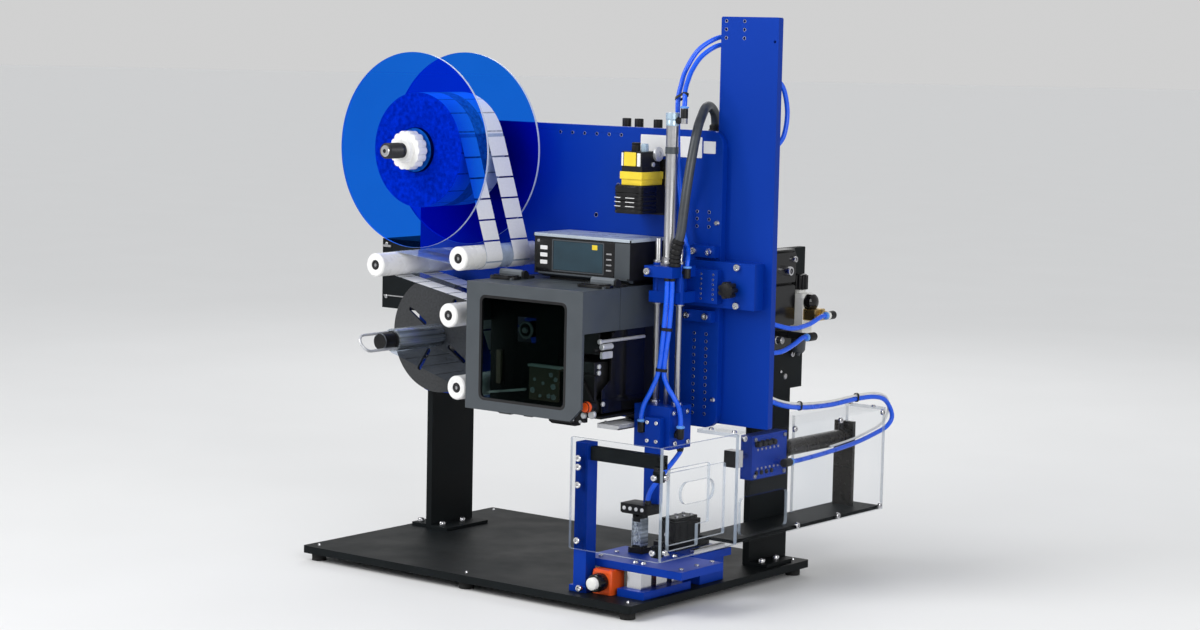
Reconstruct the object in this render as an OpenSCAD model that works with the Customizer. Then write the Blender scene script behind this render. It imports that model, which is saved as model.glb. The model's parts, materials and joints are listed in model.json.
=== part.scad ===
/* [Base] */
// Width of the base plate, left to right
base_w = 711; // [640:1:780]
// Depth of the base plate, front to back
base_d = 508; // [500:1:560]
// Thickness of the base plate
base_t = 12.7; // [8:0.1:16]
// Corner radius of the base plate
base_corner = 4; // [1:0.5:10]
// Height of the rubber feet
foot_h = 12.7; // [8:0.1:20]
// Radius of the rubber feet
foot_r = 12.5; // [8:0.5:15]
// Distance of the feet from the plate's edges
foot_inset = 20; // [16:0.5:24]

/* [Faceplate] */
// Width of the faceplate
plate_w = 652; // [640:1:680]
// Height of the faceplate
plate_h = 486; // [470:1:520]
// Thickness of the faceplate
plate_t = 12.7; // [8:0.1:16]
// Height of the faceplate's lower edge above the base plate
plate_lift = 251.6; // [240:0.1:270]
// Left edge of the faceplate, from the middle of the base
plate_left = -320; // [-330:1:-310]
// Corner radius of the faceplate
plate_corner = 25; // [10:1:40]
// Pitch of the accessory holes at the right edge
grid_pitch = 12; // [10:0.5:16]
// Radius of the accessory holes
grid_hole_r = 2.5; // [1.5:0.1:3.5]

/* [Legs] */
// Thickness of the leg plates
leg_t = 12.7; // [8:0.1:16]
// Depth of the leg plates, front to back
leg_d = 113; // [95:1:113]
// Left leg's outer face, from the faceplate's left edge
leg_inset = 11.3; // [5:0.1:20]
// Left leg's top above the faceplate's lower edge
leg_rise = 323; // [300:1:350]
// Right leg's extra depth where it carries the air parts
flare_d = 34; // [30:1:45]
// Start of the flare above the faceplate's lower edge
flare_z = 41; // [20:1:60]
// Height of the flare
flare_h = 242; // [230:1:260]
// Width of the foot angles
angle_w = 38; // [30:1:45]
// Length of the right leg's foot angle
angle_l = 75; // [65:1:76]
// Thickness of the foot angles
angle_t = 6; // [4:0.5:8]

/* [Tower] */
// Width of the tower plate
tower_w = 112; // [105:1:120]
// Height of the tower plate
tower_h = 664; // [640:1:700]
// Overlap of the tower behind the faceplate
tower_lap = 19; // [15:1:22]
// Tower's lower edge above the faceplate's lower edge
tower_rise = 7; // [5:0.5:12]
// Column spacing of the holes at the tower's top
top_hole_x = 35.5; // [30:0.5:40]
// Row spacing of the holes at the tower's top
top_hole_z = 13.6; // [10:0.1:16]

/* [Boxes] */
// Width of the control box behind the faceplate
box_w = 266.7; // [260:0.1:270]
// Depth of the control box
box_d = 128.3; // [110:0.1:140]
// Height of the control box
box_h = 455; // [440:1:460]
// Control box floor above the faceplate's lower edge
box_rise = 23; // [15:1:25]
// Wall thickness of both boxes
wall_t = 2.5; // [1.5:0.1:3]
// Width of the side box
side_w = 116.3; // [105:0.1:125]
// Depth of the side box
side_d = 108; // [90:1:110]
// Height of the side box
side_h = 125; // [110:1:135]
// Side box floor above the base plate
side_rise = 389.6; // [380:0.1:420]

/* [Label reel] */
// Reel axis from the faceplate's left edge
reel_in = 133; // [130:1:136]
// Reel axis below the faceplate's top edge
reel_drop = 49; // [44:1:54]
// Least gap between the reel's discs and the roller under them
reel_clear = 8; // [4:0.5:10]
// Radius of the reel discs
reel_r = 165; // [150:1:170]
// Thickness of the reel discs
disc_t = 4.5; // [3:0.1:6]
// Clear distance between the reel discs
reel_gap = 129; // [126:1:131]
// Rear disc's back face from the faceplate
reel_standoff = 34; // [32:1:36]
// Radius of the label roll
roll_r = 97; // [60:1:120]
// Radius of the reel hub
hub_r = 38; // [30:1:45]
// Radius of the reel shaft
shaft_r = 12.5; // [10:0.1:14]
// Radius of the lobed nut
nut_r = 33; // [28:1:40]
// Length of the lobed nut
nut_l = 20; // [14:1:24]
// Length of the shaft in front of the front disc
tip_l = 68; // [50:1:72]

/* [Liner rewind] */
// Rewind axis from the faceplate's left edge
rewind_in = 74; // [70:1:80]
// Rewind axis above the faceplate's lower edge
rewind_up = 107; // [103:1:111]
// Radius of the rewind disc
rewind_r = 101.5; // [95:0.5:105]
// Thickness of the rewind disc
rewind_t = 6; // [4:0.5:8]
// Rewind disc's back face from the faceplate
rewind_standoff = 30; // [26:0.5:34]
// Radius of the mandrel
mandrel_r = 20; // [19:0.5:24]
// Length of the mandrel
mandrel_l = 116; // [115:1:130]
// Radius of the rewind shaft
rewind_shaft_r = 8; // [6:0.5:10]
// Radius of the clip wire
wire_r = 2.5; // [2:0.1:2.6]
// Reach of the clip in front of the mandrel
clip_reach = 63; // [55:1:70]

/* [Guide rollers] */
// Radius of the guide rollers
roller_r = 20; // [16:0.5:21]
// Length of the guide rollers
roller_l = 196; // [190:1:200]
// Rollers' back ends from the faceplate
roller_standoff = 14; // [12:0.5:18]
// Radius of the roller pins
pin_r = 5; // [4:0.1:7]
// Upper left roller axis from the faceplate's left edge
roller1_in = 85; // [80:1:90]
// Upper left roller axis above the faceplate's lower edge
roller1_up = 241; // [236:1:245]
// Upper right roller axis from the faceplate's left edge
roller2_in = 269.7; // [265:0.1:271]
// Upper right roller axis above the faceplate's lower edge
roller2_up = 264.6; // [260:0.1:268]
// Middle roller axis from the faceplate's left edge
roller3_in = 250.2; // [246:0.1:256]
// Middle roller axis above the faceplate's lower edge
roller3_up = 168.6; // [162:0.1:176]
// Lower roller axis from the faceplate's left edge
roller4_in = 270.3; // [262:0.1:271]
// Lower roller axis above the faceplate's lower edge
roller4_up = 49.5; // [45:0.1:56]
// Width of the label web
web_w = 114; // [100:1:116]
// Thickness of the label web
web_t = 0.6; // [0.4:0.1:0.8]

/* [Print engine] */
// Left side of the print engine from the faceplate's left edge
engine_in = 299; // [297:1:301]
// Width of the print engine
engine_w = 243; // [240:1:244]
// Height of the print engine
engine_h = 211; // [208:1:216]
// Underside of the print engine above the faceplate's lower edge
engine_up = 20.5; // [16:0.5:24]
// Depth of the fixed cover
cover_d = 121; // [118:1:124]
// Depth of the door
door_d = 98.5; // [94:0.5:100]
// Thickness of the door's front
front_t = 6; // [4:0.5:8]
// Thickness of the cover's walls
skin_t = 4; // [3:0.5:5]
// Height of the side walls
apron_h = 69; // [60:1:75]
// Gap between the door and the cover
seam_gap = 0.5; // [0.3:0.1:1]
// Left margin of the window
win_left = 32; // [28:1:36]
// Right margin of the window
win_right = 35; // [32:1:40]
// Lower margin of the window
win_low = 20; // [18:1:24]
// Upper margin of the window
win_high = 24; // [20:1:28]
// Cut at the door's lower corner
corner_cut = 22; // [16:1:24]
// Radius of the platen roller
platen_r = 12; // [10:0.5:12.5]
// Radius of the ribbon spindle
spindle_r = 14; // [10:0.5:18]
// Width of the operator panel
panel_w = 200; // [190:1:205]
// Depth of the operator panel
panel_d = 94; // [88:1:96]
// Height of the operator panel
panel_h = 66; // [60:1:72]
// Height of the plinth under the operator panel
plinth_h = 9.5; // [8:0.5:14]

/* [Tamp] */
// Tamp axis from the faceplate's right edge, leftward
tamp_in = 59; // [57:0.5:61]
// Tamp axis in front of the faceplate
tamp_out = 60; // [58:0.5:62]
// Stroke of the tamp
stroke = 140; // [100:1:145]
// Radius of the cylinder tube
tube_r = 10; // [10:0.1:11]
// Height of the cylinder tube
tube_h = 247; // [240:1:270]
// Radius of the piston rod
rod_r = 4; // [3:0.1:5]
// Radius of the guide rods
guide_r = 5; // [4:0.1:6]
// Distance of the guide rods from the axis
guide_spread = 22; // [21:0.5:23]
// Width of the tamp block
tamp_w = 72; // [68:1:74]
// Depth of the tamp block
tamp_d = 58; // [54:1:60]
// Height of the tamp block
tamp_h = 70; // [60:1:80]
// Thickness of the arm plates
arm_t = 12.7; // [10:0.1:14]
// Height of the arm above the faceplate's lower edge
arm_up = 201; // [198:1:204]
// Height of the arm plate
arm_h = 75; // [70:1:77]
// Radius of the star knob
knob_r = 14; // [10:0.5:16]

/* [Guard] */
// Width of the guard in front
guard_w = 180; // [176:1:184]
// Height of the guard panels
guard_h = 181; // [176:1:184]
// Guard's lower edge above the base plate
guard_up = 70; // [66:1:72]
// Guard's front face from the middle of the base
guard_out = 230; // [229:0.5:234]
// Guard's right face from the middle of the base
guard_right = 391; // [388:1:396]
// Depth of the guard tunnel at the back
tunnel_d = 448; // [430:1:460]
// Thickness of the clear panels
panel_t = 6; // [4:0.5:6]
// Side of the square guard post
post_w = 25; // [20:0.5:26]
// Height of the hand opening
hand_h = 63; // [50:1:75]
// Length of the hand opening
hand_l = 136; // [110:1:150]

/* [Fixture] */
// Thickness of the fixture plates
fix_t = 12.7; // [10:0.1:14]
// Height of the polished spacers
spacer_h = 28; // [26:0.5:30]
// Width of the polished spacers
spacer_w = 28; // [22:1:30]
// Width of the fixture bar
bar_w = 197; // [180:1:205]
// Depth of the fixture bar
bar_d = 114; // [108:1:116]
// Height of the nest
nest_h = 64; // [58:1:65]
// Height of the slide unit behind the nest
slide_h = 46; // [40:1:50]
// Side of the start button's box
start_w = 38; // [34:1:39]
// Radius of the start button
start_r = 10; // [8:0.5:11]
// Travel of the start button
start_travel = 4; // [2:0.5:5]

/* [Air parts] */
// Radius of the shuttle cylinder
shuttle_r = 14; // [14:0.5:15]
// Length of the shuttle cylinder
shuttle_l = 195; // [180:1:205]
// Radius of the shuttle rod
shuttle_rod_r = 5; // [4:0.5:6]
// Travel of the shuttle
shuttle_travel = 50; // [30:1:60]
// Radius of the air hoses
hose_r = 4; // [3:0.1:4.2]
// Radius of the cable conduit
conduit_r = 8; // [7:0.1:8.5]
// Rear end of the hose loop behind the guard
loop_y = 470; // [465:1:480]

/* [Fits] */
// Radial clearance of turning and sliding fits
run_fit = 0.05; // [0.02:0.01:0.1]
// Free gap between parts that move past each other
air_gap = 0.4; // [0.3:0.1:0.8]
// Radius of the button screw heads
screw_r = 4.75; // [4:0.05:5.5]
// Height of the button screw heads
screw_h = 3; // [2:0.1:3.5]

/* [Hidden] */
$fn = 48;
ring_n = 8;
lead = 2;

blue = [0.05, 0.18, 0.52];
black = [0.04, 0.04, 0.045];
grey = [0.16, 0.17, 0.19];
steel = [0.72, 0.73, 0.75];
white = [0.92, 0.92, 0.90];
clear = [0.75, 0.85, 0.95, 0.35];
dark = [0.08, 0.08, 0.09];
orange = [0.9, 0.35, 0.05];

base_top = foot_h + base_t;
plate_bottom = base_top + plate_lift;
plate_top = plate_bottom + plate_h;
plate_right = plate_left + plate_w;

left_leg_x = plate_left + leg_inset;
box_right = 306.7;
box_x = box_right - box_w;
box_back = plate_t + box_d;
box_z = plate_bottom + box_rise;
right_leg_x = box_right - leg_t;
leg_face = box_right;
flare_top = plate_bottom + flare_z + flare_h;
side_x = left_leg_x - side_w;
side_z = base_top + side_rise;

tower_x = plate_right - tower_lap;
tower_z = plate_bottom + tower_rise;
tower_top = tower_z + tower_h;
tower_back = plate_t + plate_t;

x_min = side_x;
x_max = tower_x + tower_w;
y_min = -base_d / 2;
y_max = loop_y + hose_r;
mid_x = (x_min + x_max) / 2;
mid_y = (y_min + y_max) / 2;

reel_x = plate_left + reel_in;
reel_z = max(plate_top - reel_drop, plate_bottom + roller1_up + roller_r + reel_clear + reel_r);
disc1_y = -reel_standoff - disc_t;
disc2_y = disc1_y - reel_gap - disc_t;
shaft_tip_y = disc2_y - tip_l;
bearing_r = 40;
web_y = disc1_y - (reel_gap - web_w) / 2 - web_w;

rewind_x = plate_left + rewind_in;
rewind_z = plate_bottom + rewind_up;
mandrel_y1 = -rewind_standoff - rewind_t;
mandrel_y0 = mandrel_y1 - mandrel_l;
clip_tilt = -35;
plug_l = 31;
clip_radius = mandrel_r - wire_r - 1.7;
clip_y = mandrel_y0 - clip_reach;

roller_y1 = -roller_standoff;
roller_y0 = roller_y1 - roller_l;
recess_r = 12;
recess_l = 6.5;
roller_spots = [
  [plate_left + roller1_in, plate_bottom + roller1_up],
  [plate_left + roller2_in, plate_bottom + roller2_up],
  [plate_left + roller3_in, plate_bottom + roller3_up],
  [plate_left + roller4_in, plate_bottom + roller4_up]
];

engine_x0 = plate_left + engine_in;
engine_x1 = engine_x0 + engine_w;
engine_z0 = plate_bottom + engine_up;
engine_z1 = engine_z0 + engine_h;
door_y1 = -cover_d - seam_gap;
door_y0 = door_y1 - door_d;
hinge_r = 5;
hinge_pin_r = 2.5;
hinge_y = -cover_d - seam_gap / 2;
hinge_z = engine_z1 + hinge_r + seam_gap;
hinge_half = 21;
hinge_spots = [engine_x0 + hinge_half + 4, engine_x1 - hinge_half - 4];
platen_x = engine_x1 - 24;
platen_z = engine_z0 + 18.4;
web_z = platen_z + platen_r + 0.35 + web_t / 2;
core_y1 = -45;
core_y0 = web_y - 6;
front_y0 = core_y0 - 8;
spindle_x = engine_x0 + 83;
spindle_z = engine_z0 + 132;
bar_guide_r = 8;
bar_guide_x = engine_x0 + 31;
bar_guide_z = web_z + web_t / 2 + 0.35 + bar_guide_r;
latch_x = engine_x1 - 32;
latch_z = engine_z0 + 54;
panel_x1 = engine_x1;
panel_x0 = panel_x1 - panel_w;
panel_y1 = -4;
panel_y0 = panel_y1 - panel_d;
panel_z0 = engine_z1 + plinth_h;

tamp_x = plate_right - tamp_in;
tamp_y = -tamp_out;
arm_z0 = plate_bottom + arm_up;
arm_z1 = arm_z0 + arm_h;
arm_x0 = tamp_x - 11;
arm_x1 = tower_x + 96;
slide_z0 = arm_z0 + 7;
slide_z1 = arm_z1 - 13;
head_z0 = slide_z0;
head_z1 = head_z0 + 60;
head_half = 28;
head_y1 = -arm_t * 2;
head_y0 = tamp_y - 30;
bush_r = 8;
tube_z1 = head_z1 + tube_h;
bore_r = tube_r - 1.8;
tamp_z1 = plate_bottom + 41;
tamp_z0 = tamp_z1 - tamp_h;
tamp_x0 = tamp_x - 6 - tamp_w / 2;
tamp_x1 = tamp_x0 + tamp_w;
tamp_y1 = tamp_y + 29;
tamp_y0 = tamp_y1 - tamp_d;
stem_t = 12;
stem_y0 = tamp_y0 - stem_t;
star_x = tower_x + 54;
star_z = (arm_z0 + arm_z1) / 2 - 6;
star_stud_r = 4;
slide_hole_r = 1.5;
scanner_up = 348;
foot_screw_r = 2.6;

guard_x0 = guard_right - guard_w;
guard_z0 = base_top + guard_up;
guard_z1 = guard_z0 + guard_h;
guard_y0 = -guard_out;
inner_y0 = guard_y0 + panel_t;
inner_x1 = guard_right - panel_t;
tunnel_y0 = -18;
tunnel_y1 = tunnel_y0 + tunnel_d;
tunnel_x0 = leg_face + 2;
hand_y0 = -8;
hand_z0 = guard_z0 + 12;
post_x0 = guard_x0 + 6;
post_x1 = post_x0 + post_w;

fix_z1 = base_top + fix_t;
bar_z0 = fix_z1 + spacer_h;
bar_z1 = bar_z0 + fix_t;
bar_x0 = guard_x0 + 4;
bar_y0 = inner_y0 + post_w + 1;
bar_y1 = bar_y0 + bar_d;
base_x0 = 292;
base_x1 = 345;
spacer_x = (base_x0 + base_x1) / 2;
spacer_ys = [bar_y0 + 15, bar_y0 + 57, bar_y0 + 99];
rear_x0 = 250;
rear_x1 = 348;
rear_y0 = bar_y1 + 8;
rear_y1 = 30;
nest_x = tamp_x - 8;
nest_y = stem_y0 - 11;
pad_z0 = bar_z1 + nest_h + 2;
stem_z0 = pad_z0 + 15;

foot_x = base_w / 2 - foot_inset;
foot_back_x = foot_x < leg_face + screw_r + 1 ? right_leg_x - foot_r - 1 : foot_x;
foot_front_y = min(-base_d / 2 + foot_inset, bar_y0 - 8 - screw_r - 1);
foot_back_y = max(base_d / 2 - foot_inset, box_back + angle_l + screw_r + 1);
foot_spots = [
  [-foot_x, foot_front_y], [-foot_x, foot_back_y], [0, foot_front_y], [0, foot_back_y],
  [foot_x, foot_front_y], [foot_back_x, foot_back_y]
];

start_x0 = post_x1 + 5;
start_x = start_x0 + start_w / 2;
start_y0 = inner_y0 + 11;
start_z = base_top + start_w / 2 + 1.5;
barrel_r = start_r + 4;
barrel_l = 19;
button_y0 = start_y0 - barrel_l - 8;

shuttle_x = leg_face + 26.8;
shuttle_z = guard_z0 + 127;
manifold_y0 = 87;
manifold_y1 = 190;
manifold_half = 11.5;
pusher_y0 = 40;
piston_r = shuttle_r - 2;

reg_y = 249;
reg_z0 = plate_bottom + 139;
reg_z1 = reg_z0 + 68;
reg_x1 = leg_face + 33.3;
reg_hose_x = 378;
reg_hose_z = reg_z0 + 33;
valve_x1 = leg_face + 25.3;
valve_z0 = plate_bottom + 113;
valve_z1 = valve_z0 + 168;
valve_y0 = 150;
valve_y1 = 222;
valve_hose_x = 370;
valve_hose_z = valve_z0 + 25;
elbow_r = 7;

left_elbow = [tamp_x0 + 22, tamp_y0 - 10, tamp_z1 - 26];
right_elbow = [tamp_x1 + 9, tamp_y - 12, tamp_z1 - 34];
port_a = [tamp_x + head_half + 8, tamp_y, head_z1 - 2];
port_b = [tamp_x + 23, tamp_y, tube_z1 + 8];
sleeve_foot = [tamp_x + head_half - 4, tamp_y - 17];

supply_a = [
  [335, tower_back, plate_top + 142], [335, 40, plate_top + 142], [327, 53, plate_top + 146],
  [309, 51, plate_top + 152], [291, 33, plate_top + 150], [272, 8, plate_top + 130],
  [262, -12, plate_top + 97], [266, -30, plate_top + 72], [269, -41, plate_top + 50],
  [270, -42, plate_top + 17], [270, -38, plate_top - 48], [268, -29, plate_top - 93],
  [266, -21, head_z1 + 96], [269, -19.5, head_z1 + 62], [277, -23, head_z1 + 40],
  [291, -34, head_z1 + 26], [303, -50, head_z1 + 18], [308, -57.5, head_z1 + 11],
  [port_a[0], port_a[1], port_a[2] + 6], port_a
];
supply_b = [
  [335, tower_back, plate_top + 127], [335, 38, plate_top + 127], [328, 50, plate_top + 131],
  [311, 49, plate_top + 138], [294, 32, plate_top + 138], [280, 8, plate_top + 121],
  [277, -14, plate_top + 99], [282, -34, plate_top + 79], [289, -50, port_b[2] + 26],
  [295, -58, port_b[2] + 13], [port_b[0], port_b[1], port_b[2] + 5], port_b
];
crest_z = max(plate_top, box_z + box_h + 8);
conduit_path = [
  [284, 45, box_z + box_h], [284, 45, crest_z + 10], [286, 38, crest_z + 28],
  [289, 20, crest_z + 39], [293.5, 2, crest_z + 37], [299, -16, crest_z + 24],
  [305, -36, crest_z + 2], [310, -57, crest_z - 46], [309.5, -68, head_z1 + 122],
  [306, -75, head_z1 + 58], [301, -77, head_z1 + 36], [sleeve_foot[0], sleeve_foot[1], head_z1 + 16],
  [sleeve_foot[0], sleeve_foot[1], head_z1]
];
drop_a = [
  [288.6, -86, head_z1 - 18], [288.6, -86, head_z1 - 45], [285.5, -87.6, head_z1 - 101],
  [277.5, -88, head_z1 - 168], [268, -93, head_z1 - 200], [258, -98, left_elbow[2] + 30],
  [left_elbow[0], left_elbow[1], left_elbow[2] + 12], left_elbow
];
drop_b = [
  [295.4, -81.4, head_z1 - 18], [295.4, -81.4, head_z1 - 45], [292.3, -82.4, head_z1 - 101],
  [284.3, -82.8, head_z1 - 168], [292, -83.5, head_z1 - 193], [304, -81, right_elbow[2] + 50],
  [311, -76, right_elbow[2] + 33], [right_elbow[0], right_elbow[1], right_elbow[2] + 15], right_elbow
];
pad_path = [
  [298, tamp_y + 8, tamp_z0], [298, tamp_y + 8, tamp_z0 - 7], [300, -70, tamp_z0 - 18],
  [303, -100, tamp_z0 - 34], [297, -115, tamp_z0 - 51], [289, -119, stem_z0 + 22],
  [285, -119, stem_z0 + 10], [285, -119, stem_z0]
];
reg_path = [
  [leg_face, 80, reg_hose_z + 8], [325, 80, reg_hose_z + 8], [350, 89, reg_hose_z + 3],
  [368, 115, reg_hose_z - 7], [377, 150, reg_hose_z - 14], [378, 195, reg_hose_z - 11],
  [reg_hose_x, 225, reg_hose_z - 3], [reg_hose_x, 238, reg_hose_z], [reg_hose_x, reg_y + 1, reg_hose_z]
];
valve_path = [
  [leg_face, 60, valve_hose_z - 9], [322, 60, valve_hose_z - 9], [345, 69, valve_hose_z - 13],
  [361, 95, valve_hose_z - 18], [369, 130, valve_hose_z - 18], [370, 165, valve_hose_z - 9],
  [valve_hose_x, 190, valve_hose_z], [valve_hose_x, valve_y1 - 17, valve_hose_z]
];
loop_path = [
  [leg_face, 90, guard_z1 + 54], [326, 90, guard_z1 + 54], [348, 103, guard_z1 + 46],
  [360, 140, guard_z1 + 30], [362, 200, guard_z1 + 19], [362, 290, guard_z1 + 14],
  [366, 370, guard_z1 + 17], [374, 420, guard_z1 + 17], [379, 450, guard_z1 + 7],
  [380, loop_y, guard_z1 - 20], [377, 460, guard_z1 - 38], [371, 430, guard_z1 - 49],
  [367, 370, guard_z1 - 60], [366, 280, guard_z1 - 67], [366, 205, guard_z1 - 70],
  [366, 172, guard_z1 - 70]
];
tower_loop = [
  [406, tower_back, tower_top - 100], [406, 40, tower_top - 100], [409, 56, tower_top - 116],
  [412, 63, tower_top - 152], [411, 57, tower_top - 188], [408, 41, tower_top - 206],
  [408, tower_back, tower_top - 206]
];

module place() translate([-mid_x, -mid_y, 0]) children();

module block(x0, x1, y0, y1, z0, z1) translate([x0, y0, z0]) cube([x1 - x0, y1 - y0, z1 - z0]);

module bar_x(y, z, x0, x1, r) translate([x0, y, z]) rotate([0, 90, 0]) cylinder(h = x1 - x0, r = r);
module bar_y(x, z, y0, y1, r) translate([x, y0, z]) rotate([-90, 0, 0]) cylinder(h = y1 - y0, r = r);
module bar_z(x, y, z0, z1, r) translate([x, y, z0]) cylinder(h = z1 - z0, r = r);

// Drawing across and up, raised front to back from y0
module upright(y0, t) translate([0, y0 + t, 0]) rotate([90, 0, 0]) linear_extrude(t) children();
// Drawing back and up, raised rightward from x0
module sideways(x0, t) translate([x0, 0, 0]) rotate([90, 0, 90]) linear_extrude(t) children();
// Drawing seen from above, raised from z0
module flat(z0, t) translate([0, 0, z0]) linear_extrude(t) children();

module panel(a0, a1, b0, b1, r) {
  translate([a0 + r, b0]) square([a1 - a0 - 2 * r, b1 - b0]);
  translate([a0, b0 + r]) square([a1 - a0, b1 - b0 - 2 * r]);
  for (a = [a0 + r, a1 - r], b = [b0 + r, b1 - r]) translate([a, b]) circle(r);
}

module lobes(r, count, lobe_r) {
  circle(r - lobe_r);
  for (i = [0 : count - 1]) rotate(i * 360 / count) translate([r - lobe_r, 0]) circle(lobe_r);
}

module head(r = screw_r) difference() {
  cylinder(h = screw_h, r1 = r, r2 = r * 0.68, $fn = 24);
  translate([0, 0, screw_h * 0.45]) cylinder(h = screw_h, r = r * 0.36, $fn = 6);
}
module screw_up(x, y, z, r = screw_r) translate([x, y, z]) head(r);
module screw_front(x, y, z) translate([x, y, z]) rotate([90, 0, 0]) head();
module screw_right(x, y, z) translate([x, y, z]) rotate([0, 90, 0]) head();

function unit(v) = v / norm(v);
function heading(p, i) =
  i == 0 ? unit(p[1] - p[0]) :
  i == len(p) - 1 ? unit(p[i] - p[i - 1]) :
  unit(unit(p[i + 1] - p[i]) + unit(p[i] - p[i - 1]));
function square_to(v, t) = unit(v - (v * t) * t);
function carry(p, i, s) =
  let (n = square_to(s, heading(p, i)))
  i == len(p) - 1 ? [n] : concat([n], carry(p, i + 1, n));
function start_side(t) = abs(t[2]) < 0.9 ? [0, 0, 1] : [1, 0, 0];

// One unbroken tube along a route
module tube(p, r, n = ring_n) {
  s = carry(p, 0, start_side(heading(p, 0)));
  pts = [for (i = [0 : len(p) - 1]) for (k = [0 : n - 1])
    p[i] + r * (cos(k * 360 / n) * s[i] + sin(k * 360 / n) * cross(heading(p, i), s[i]))];
  skin = [for (i = [0 : len(p) - 2]) for (k = [0 : n - 1])
    let (a = i * n + k, b = i * n + (k + 1) % n, c = a + n, d = b + n)
    for (f = [[a, c, d], [a, d, b]]) f];
  first = [for (k = [0 : n - 1]) k];
  last = [for (k = [n - 1 : -1 : 0]) (len(p) - 1) * n + k];
  polyhedron(points = pts, faces = concat([first], skin, [last]), convexity = 8);
}

// Web route: each stop is a centre with a signed radius, positive when it lies on the left
stop_gap = 0.35 + web_t / 2;
web_stops = [
  [reel_x, reel_z, -(roll_r + stop_gap)],
  [roller_spots[1][0], roller_spots[1][1], -(roller_r + stop_gap)],
  [roller_spots[0][0], roller_spots[0][1], roller_r + stop_gap],
  [roller_spots[2][0], roller_spots[2][1], -(roller_r + stop_gap)],
  [bar_guide_x, bar_guide_z, bar_guide_r + stop_gap]
];
function leg_angle(a, b) =
  let (dx = b[0] - a[0], dz = b[1] - a[1])
  atan2(dz, dx) - asin((b[2] - a[2]) / sqrt(dx * dx + dz * dz));
function stop_point(s, angle) = [s[0] + s[2] * sin(angle), s[1] - s[2] * cos(angle)];
web_last = len(web_stops) - 1;
web_angles = [for (i = [0 : web_last - 1]) leg_angle(web_stops[i], web_stops[i + 1])];
function near_turn(a, b) = a + (((b - a + 180) % 360) + 360) % 360 - 180;
arc_steps = 10;
liner_clear = 1.2;
web_line = concat(
  [[stop_point(web_stops[0], web_angles[0]), web_angles[0]]],
  [for (i = [1 : web_last])
    let (a = web_angles[i - 1], b = i < web_last ? near_turn(a, web_angles[i]) : near_turn(a, 0))
    for (k = [0 : arc_steps])
      let (t = a + (b - a) * k / arc_steps) [stop_point(web_stops[i], t), t]],
  [[[engine_x1 - 1, web_z], 0]]
);
function side_of(line, d) = [for (w = line) w[0] + d * [-sin(w[1]), cos(w[1])]];
// Spent liner: from below the print engine, under the last roller, to the underside of the mandrel
liner_y = mandrel_y0 + (mandrel_l - web_w) / 2;
liner_a = [roller_spots[3][0], roller_spots[3][1], -(roller_r + stop_gap)];
liner_b = [rewind_x, rewind_z, -(mandrel_r + liner_clear + web_t / 2)];
liner_turn = near_turn(180, leg_angle(liner_a, liner_b));
liner_line = concat(
  [[[engine_x0 - 1.5, liner_a[1] + liner_a[2]], 180]],
  [for (k = [0 : arc_steps])
    let (t = 180 + (liner_turn - 180) * k / arc_steps) [stop_point(liner_a, t), t]],
  [[stop_point(liner_b, liner_turn), liner_turn]]
);
function flip(v) = [for (i = [len(v) - 1 : -1 : 0]) v[i]];

module base_plate() color(black) place()
  flat(foot_h, base_t) panel(-base_w / 2, base_w / 2, -base_d / 2, base_d / 2, base_corner);

module base_feet() color(dark) place()
  for (p = foot_spots) bar_z(p[0], p[1], 0, foot_h, foot_r);

module left_leg() color(black) place() {
  y1 = plate_t + leg_d;
  x1 = left_leg_x + leg_t;
  block(left_leg_x, x1, plate_t, y1, base_top, plate_bottom + leg_rise);
  block(x1, x1 + angle_w, plate_t, y1, base_top, base_top + angle_t);
  block(left_leg_x - angle_w, left_leg_x, plate_t + 5, plate_t + 55, base_top, base_top + angle_t);
}

module right_leg() color(black) place() {
  block(right_leg_x, leg_face, box_back, box_back + leg_d, base_top, plate_bottom + flare_z);
  block(right_leg_x, leg_face, box_back, box_back + leg_d + flare_d, plate_bottom + flare_z, flare_top);
  block(leg_face, leg_face + angle_w, box_back, box_back + angle_l, base_top, base_top + angle_t);
}

module faceplate() color(blue) place()
  upright(0, plate_t) difference() {
    union() {
      panel(plate_left, plate_right, plate_bottom, plate_top, plate_corner);
      if (reel_z + bearing_r > plate_top) translate([reel_x, reel_z]) circle(bearing_r);
    }
    translate([reel_x, reel_z]) circle(shaft_r + 1.5);
    translate([rewind_x, rewind_z]) circle(rewind_shaft_r + 1.5);
    for (i = [0 : 11], x = [plate_right - 49, plate_right - 25])
      translate([x, plate_bottom + 22 + i * grid_pitch]) circle(grid_hole_r);
    for (i = [0 : 2], x = [plate_right - 49, plate_right - 25])
      translate([x, plate_bottom + 330 + i * grid_pitch]) circle(grid_hole_r);
    for (i = [0 : 5]) translate([plate_right - 338 + i * 26, plate_top - 14]) circle(grid_hole_r);
    for (p = [[plate_right - 212, plate_top - 98], [plate_right - 258, plate_top - 150]])
      translate(p) circle(grid_hole_r + 1);
  }

module tower_plate() color(blue) place()
  upright(plate_t, plate_t) difference() {
    panel(tower_x, tower_x + tower_w, tower_z, tower_top, 3);
    for (i = [0 : 2], j = [0, 1])
      translate([tower_x + 10 + j * top_hole_x, tower_top - 7 - i * top_hole_z]) circle(grid_hole_r);
    translate([tower_x + 105, tower_top - 39]) circle(grid_hole_r);
  }

module case_back(x0, x1, y0, y1, z0, z1) {
  difference() {
    block(x0, x1, y0, y1 - wall_t, z0, z1);
    block(x0 + wall_t, x1 - wall_t, y0 + wall_t, y1, z0 + wall_t, z1 - wall_t);
  }
  block(x0, x1, y1 - wall_t, y1, z0, z1);
}

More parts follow.
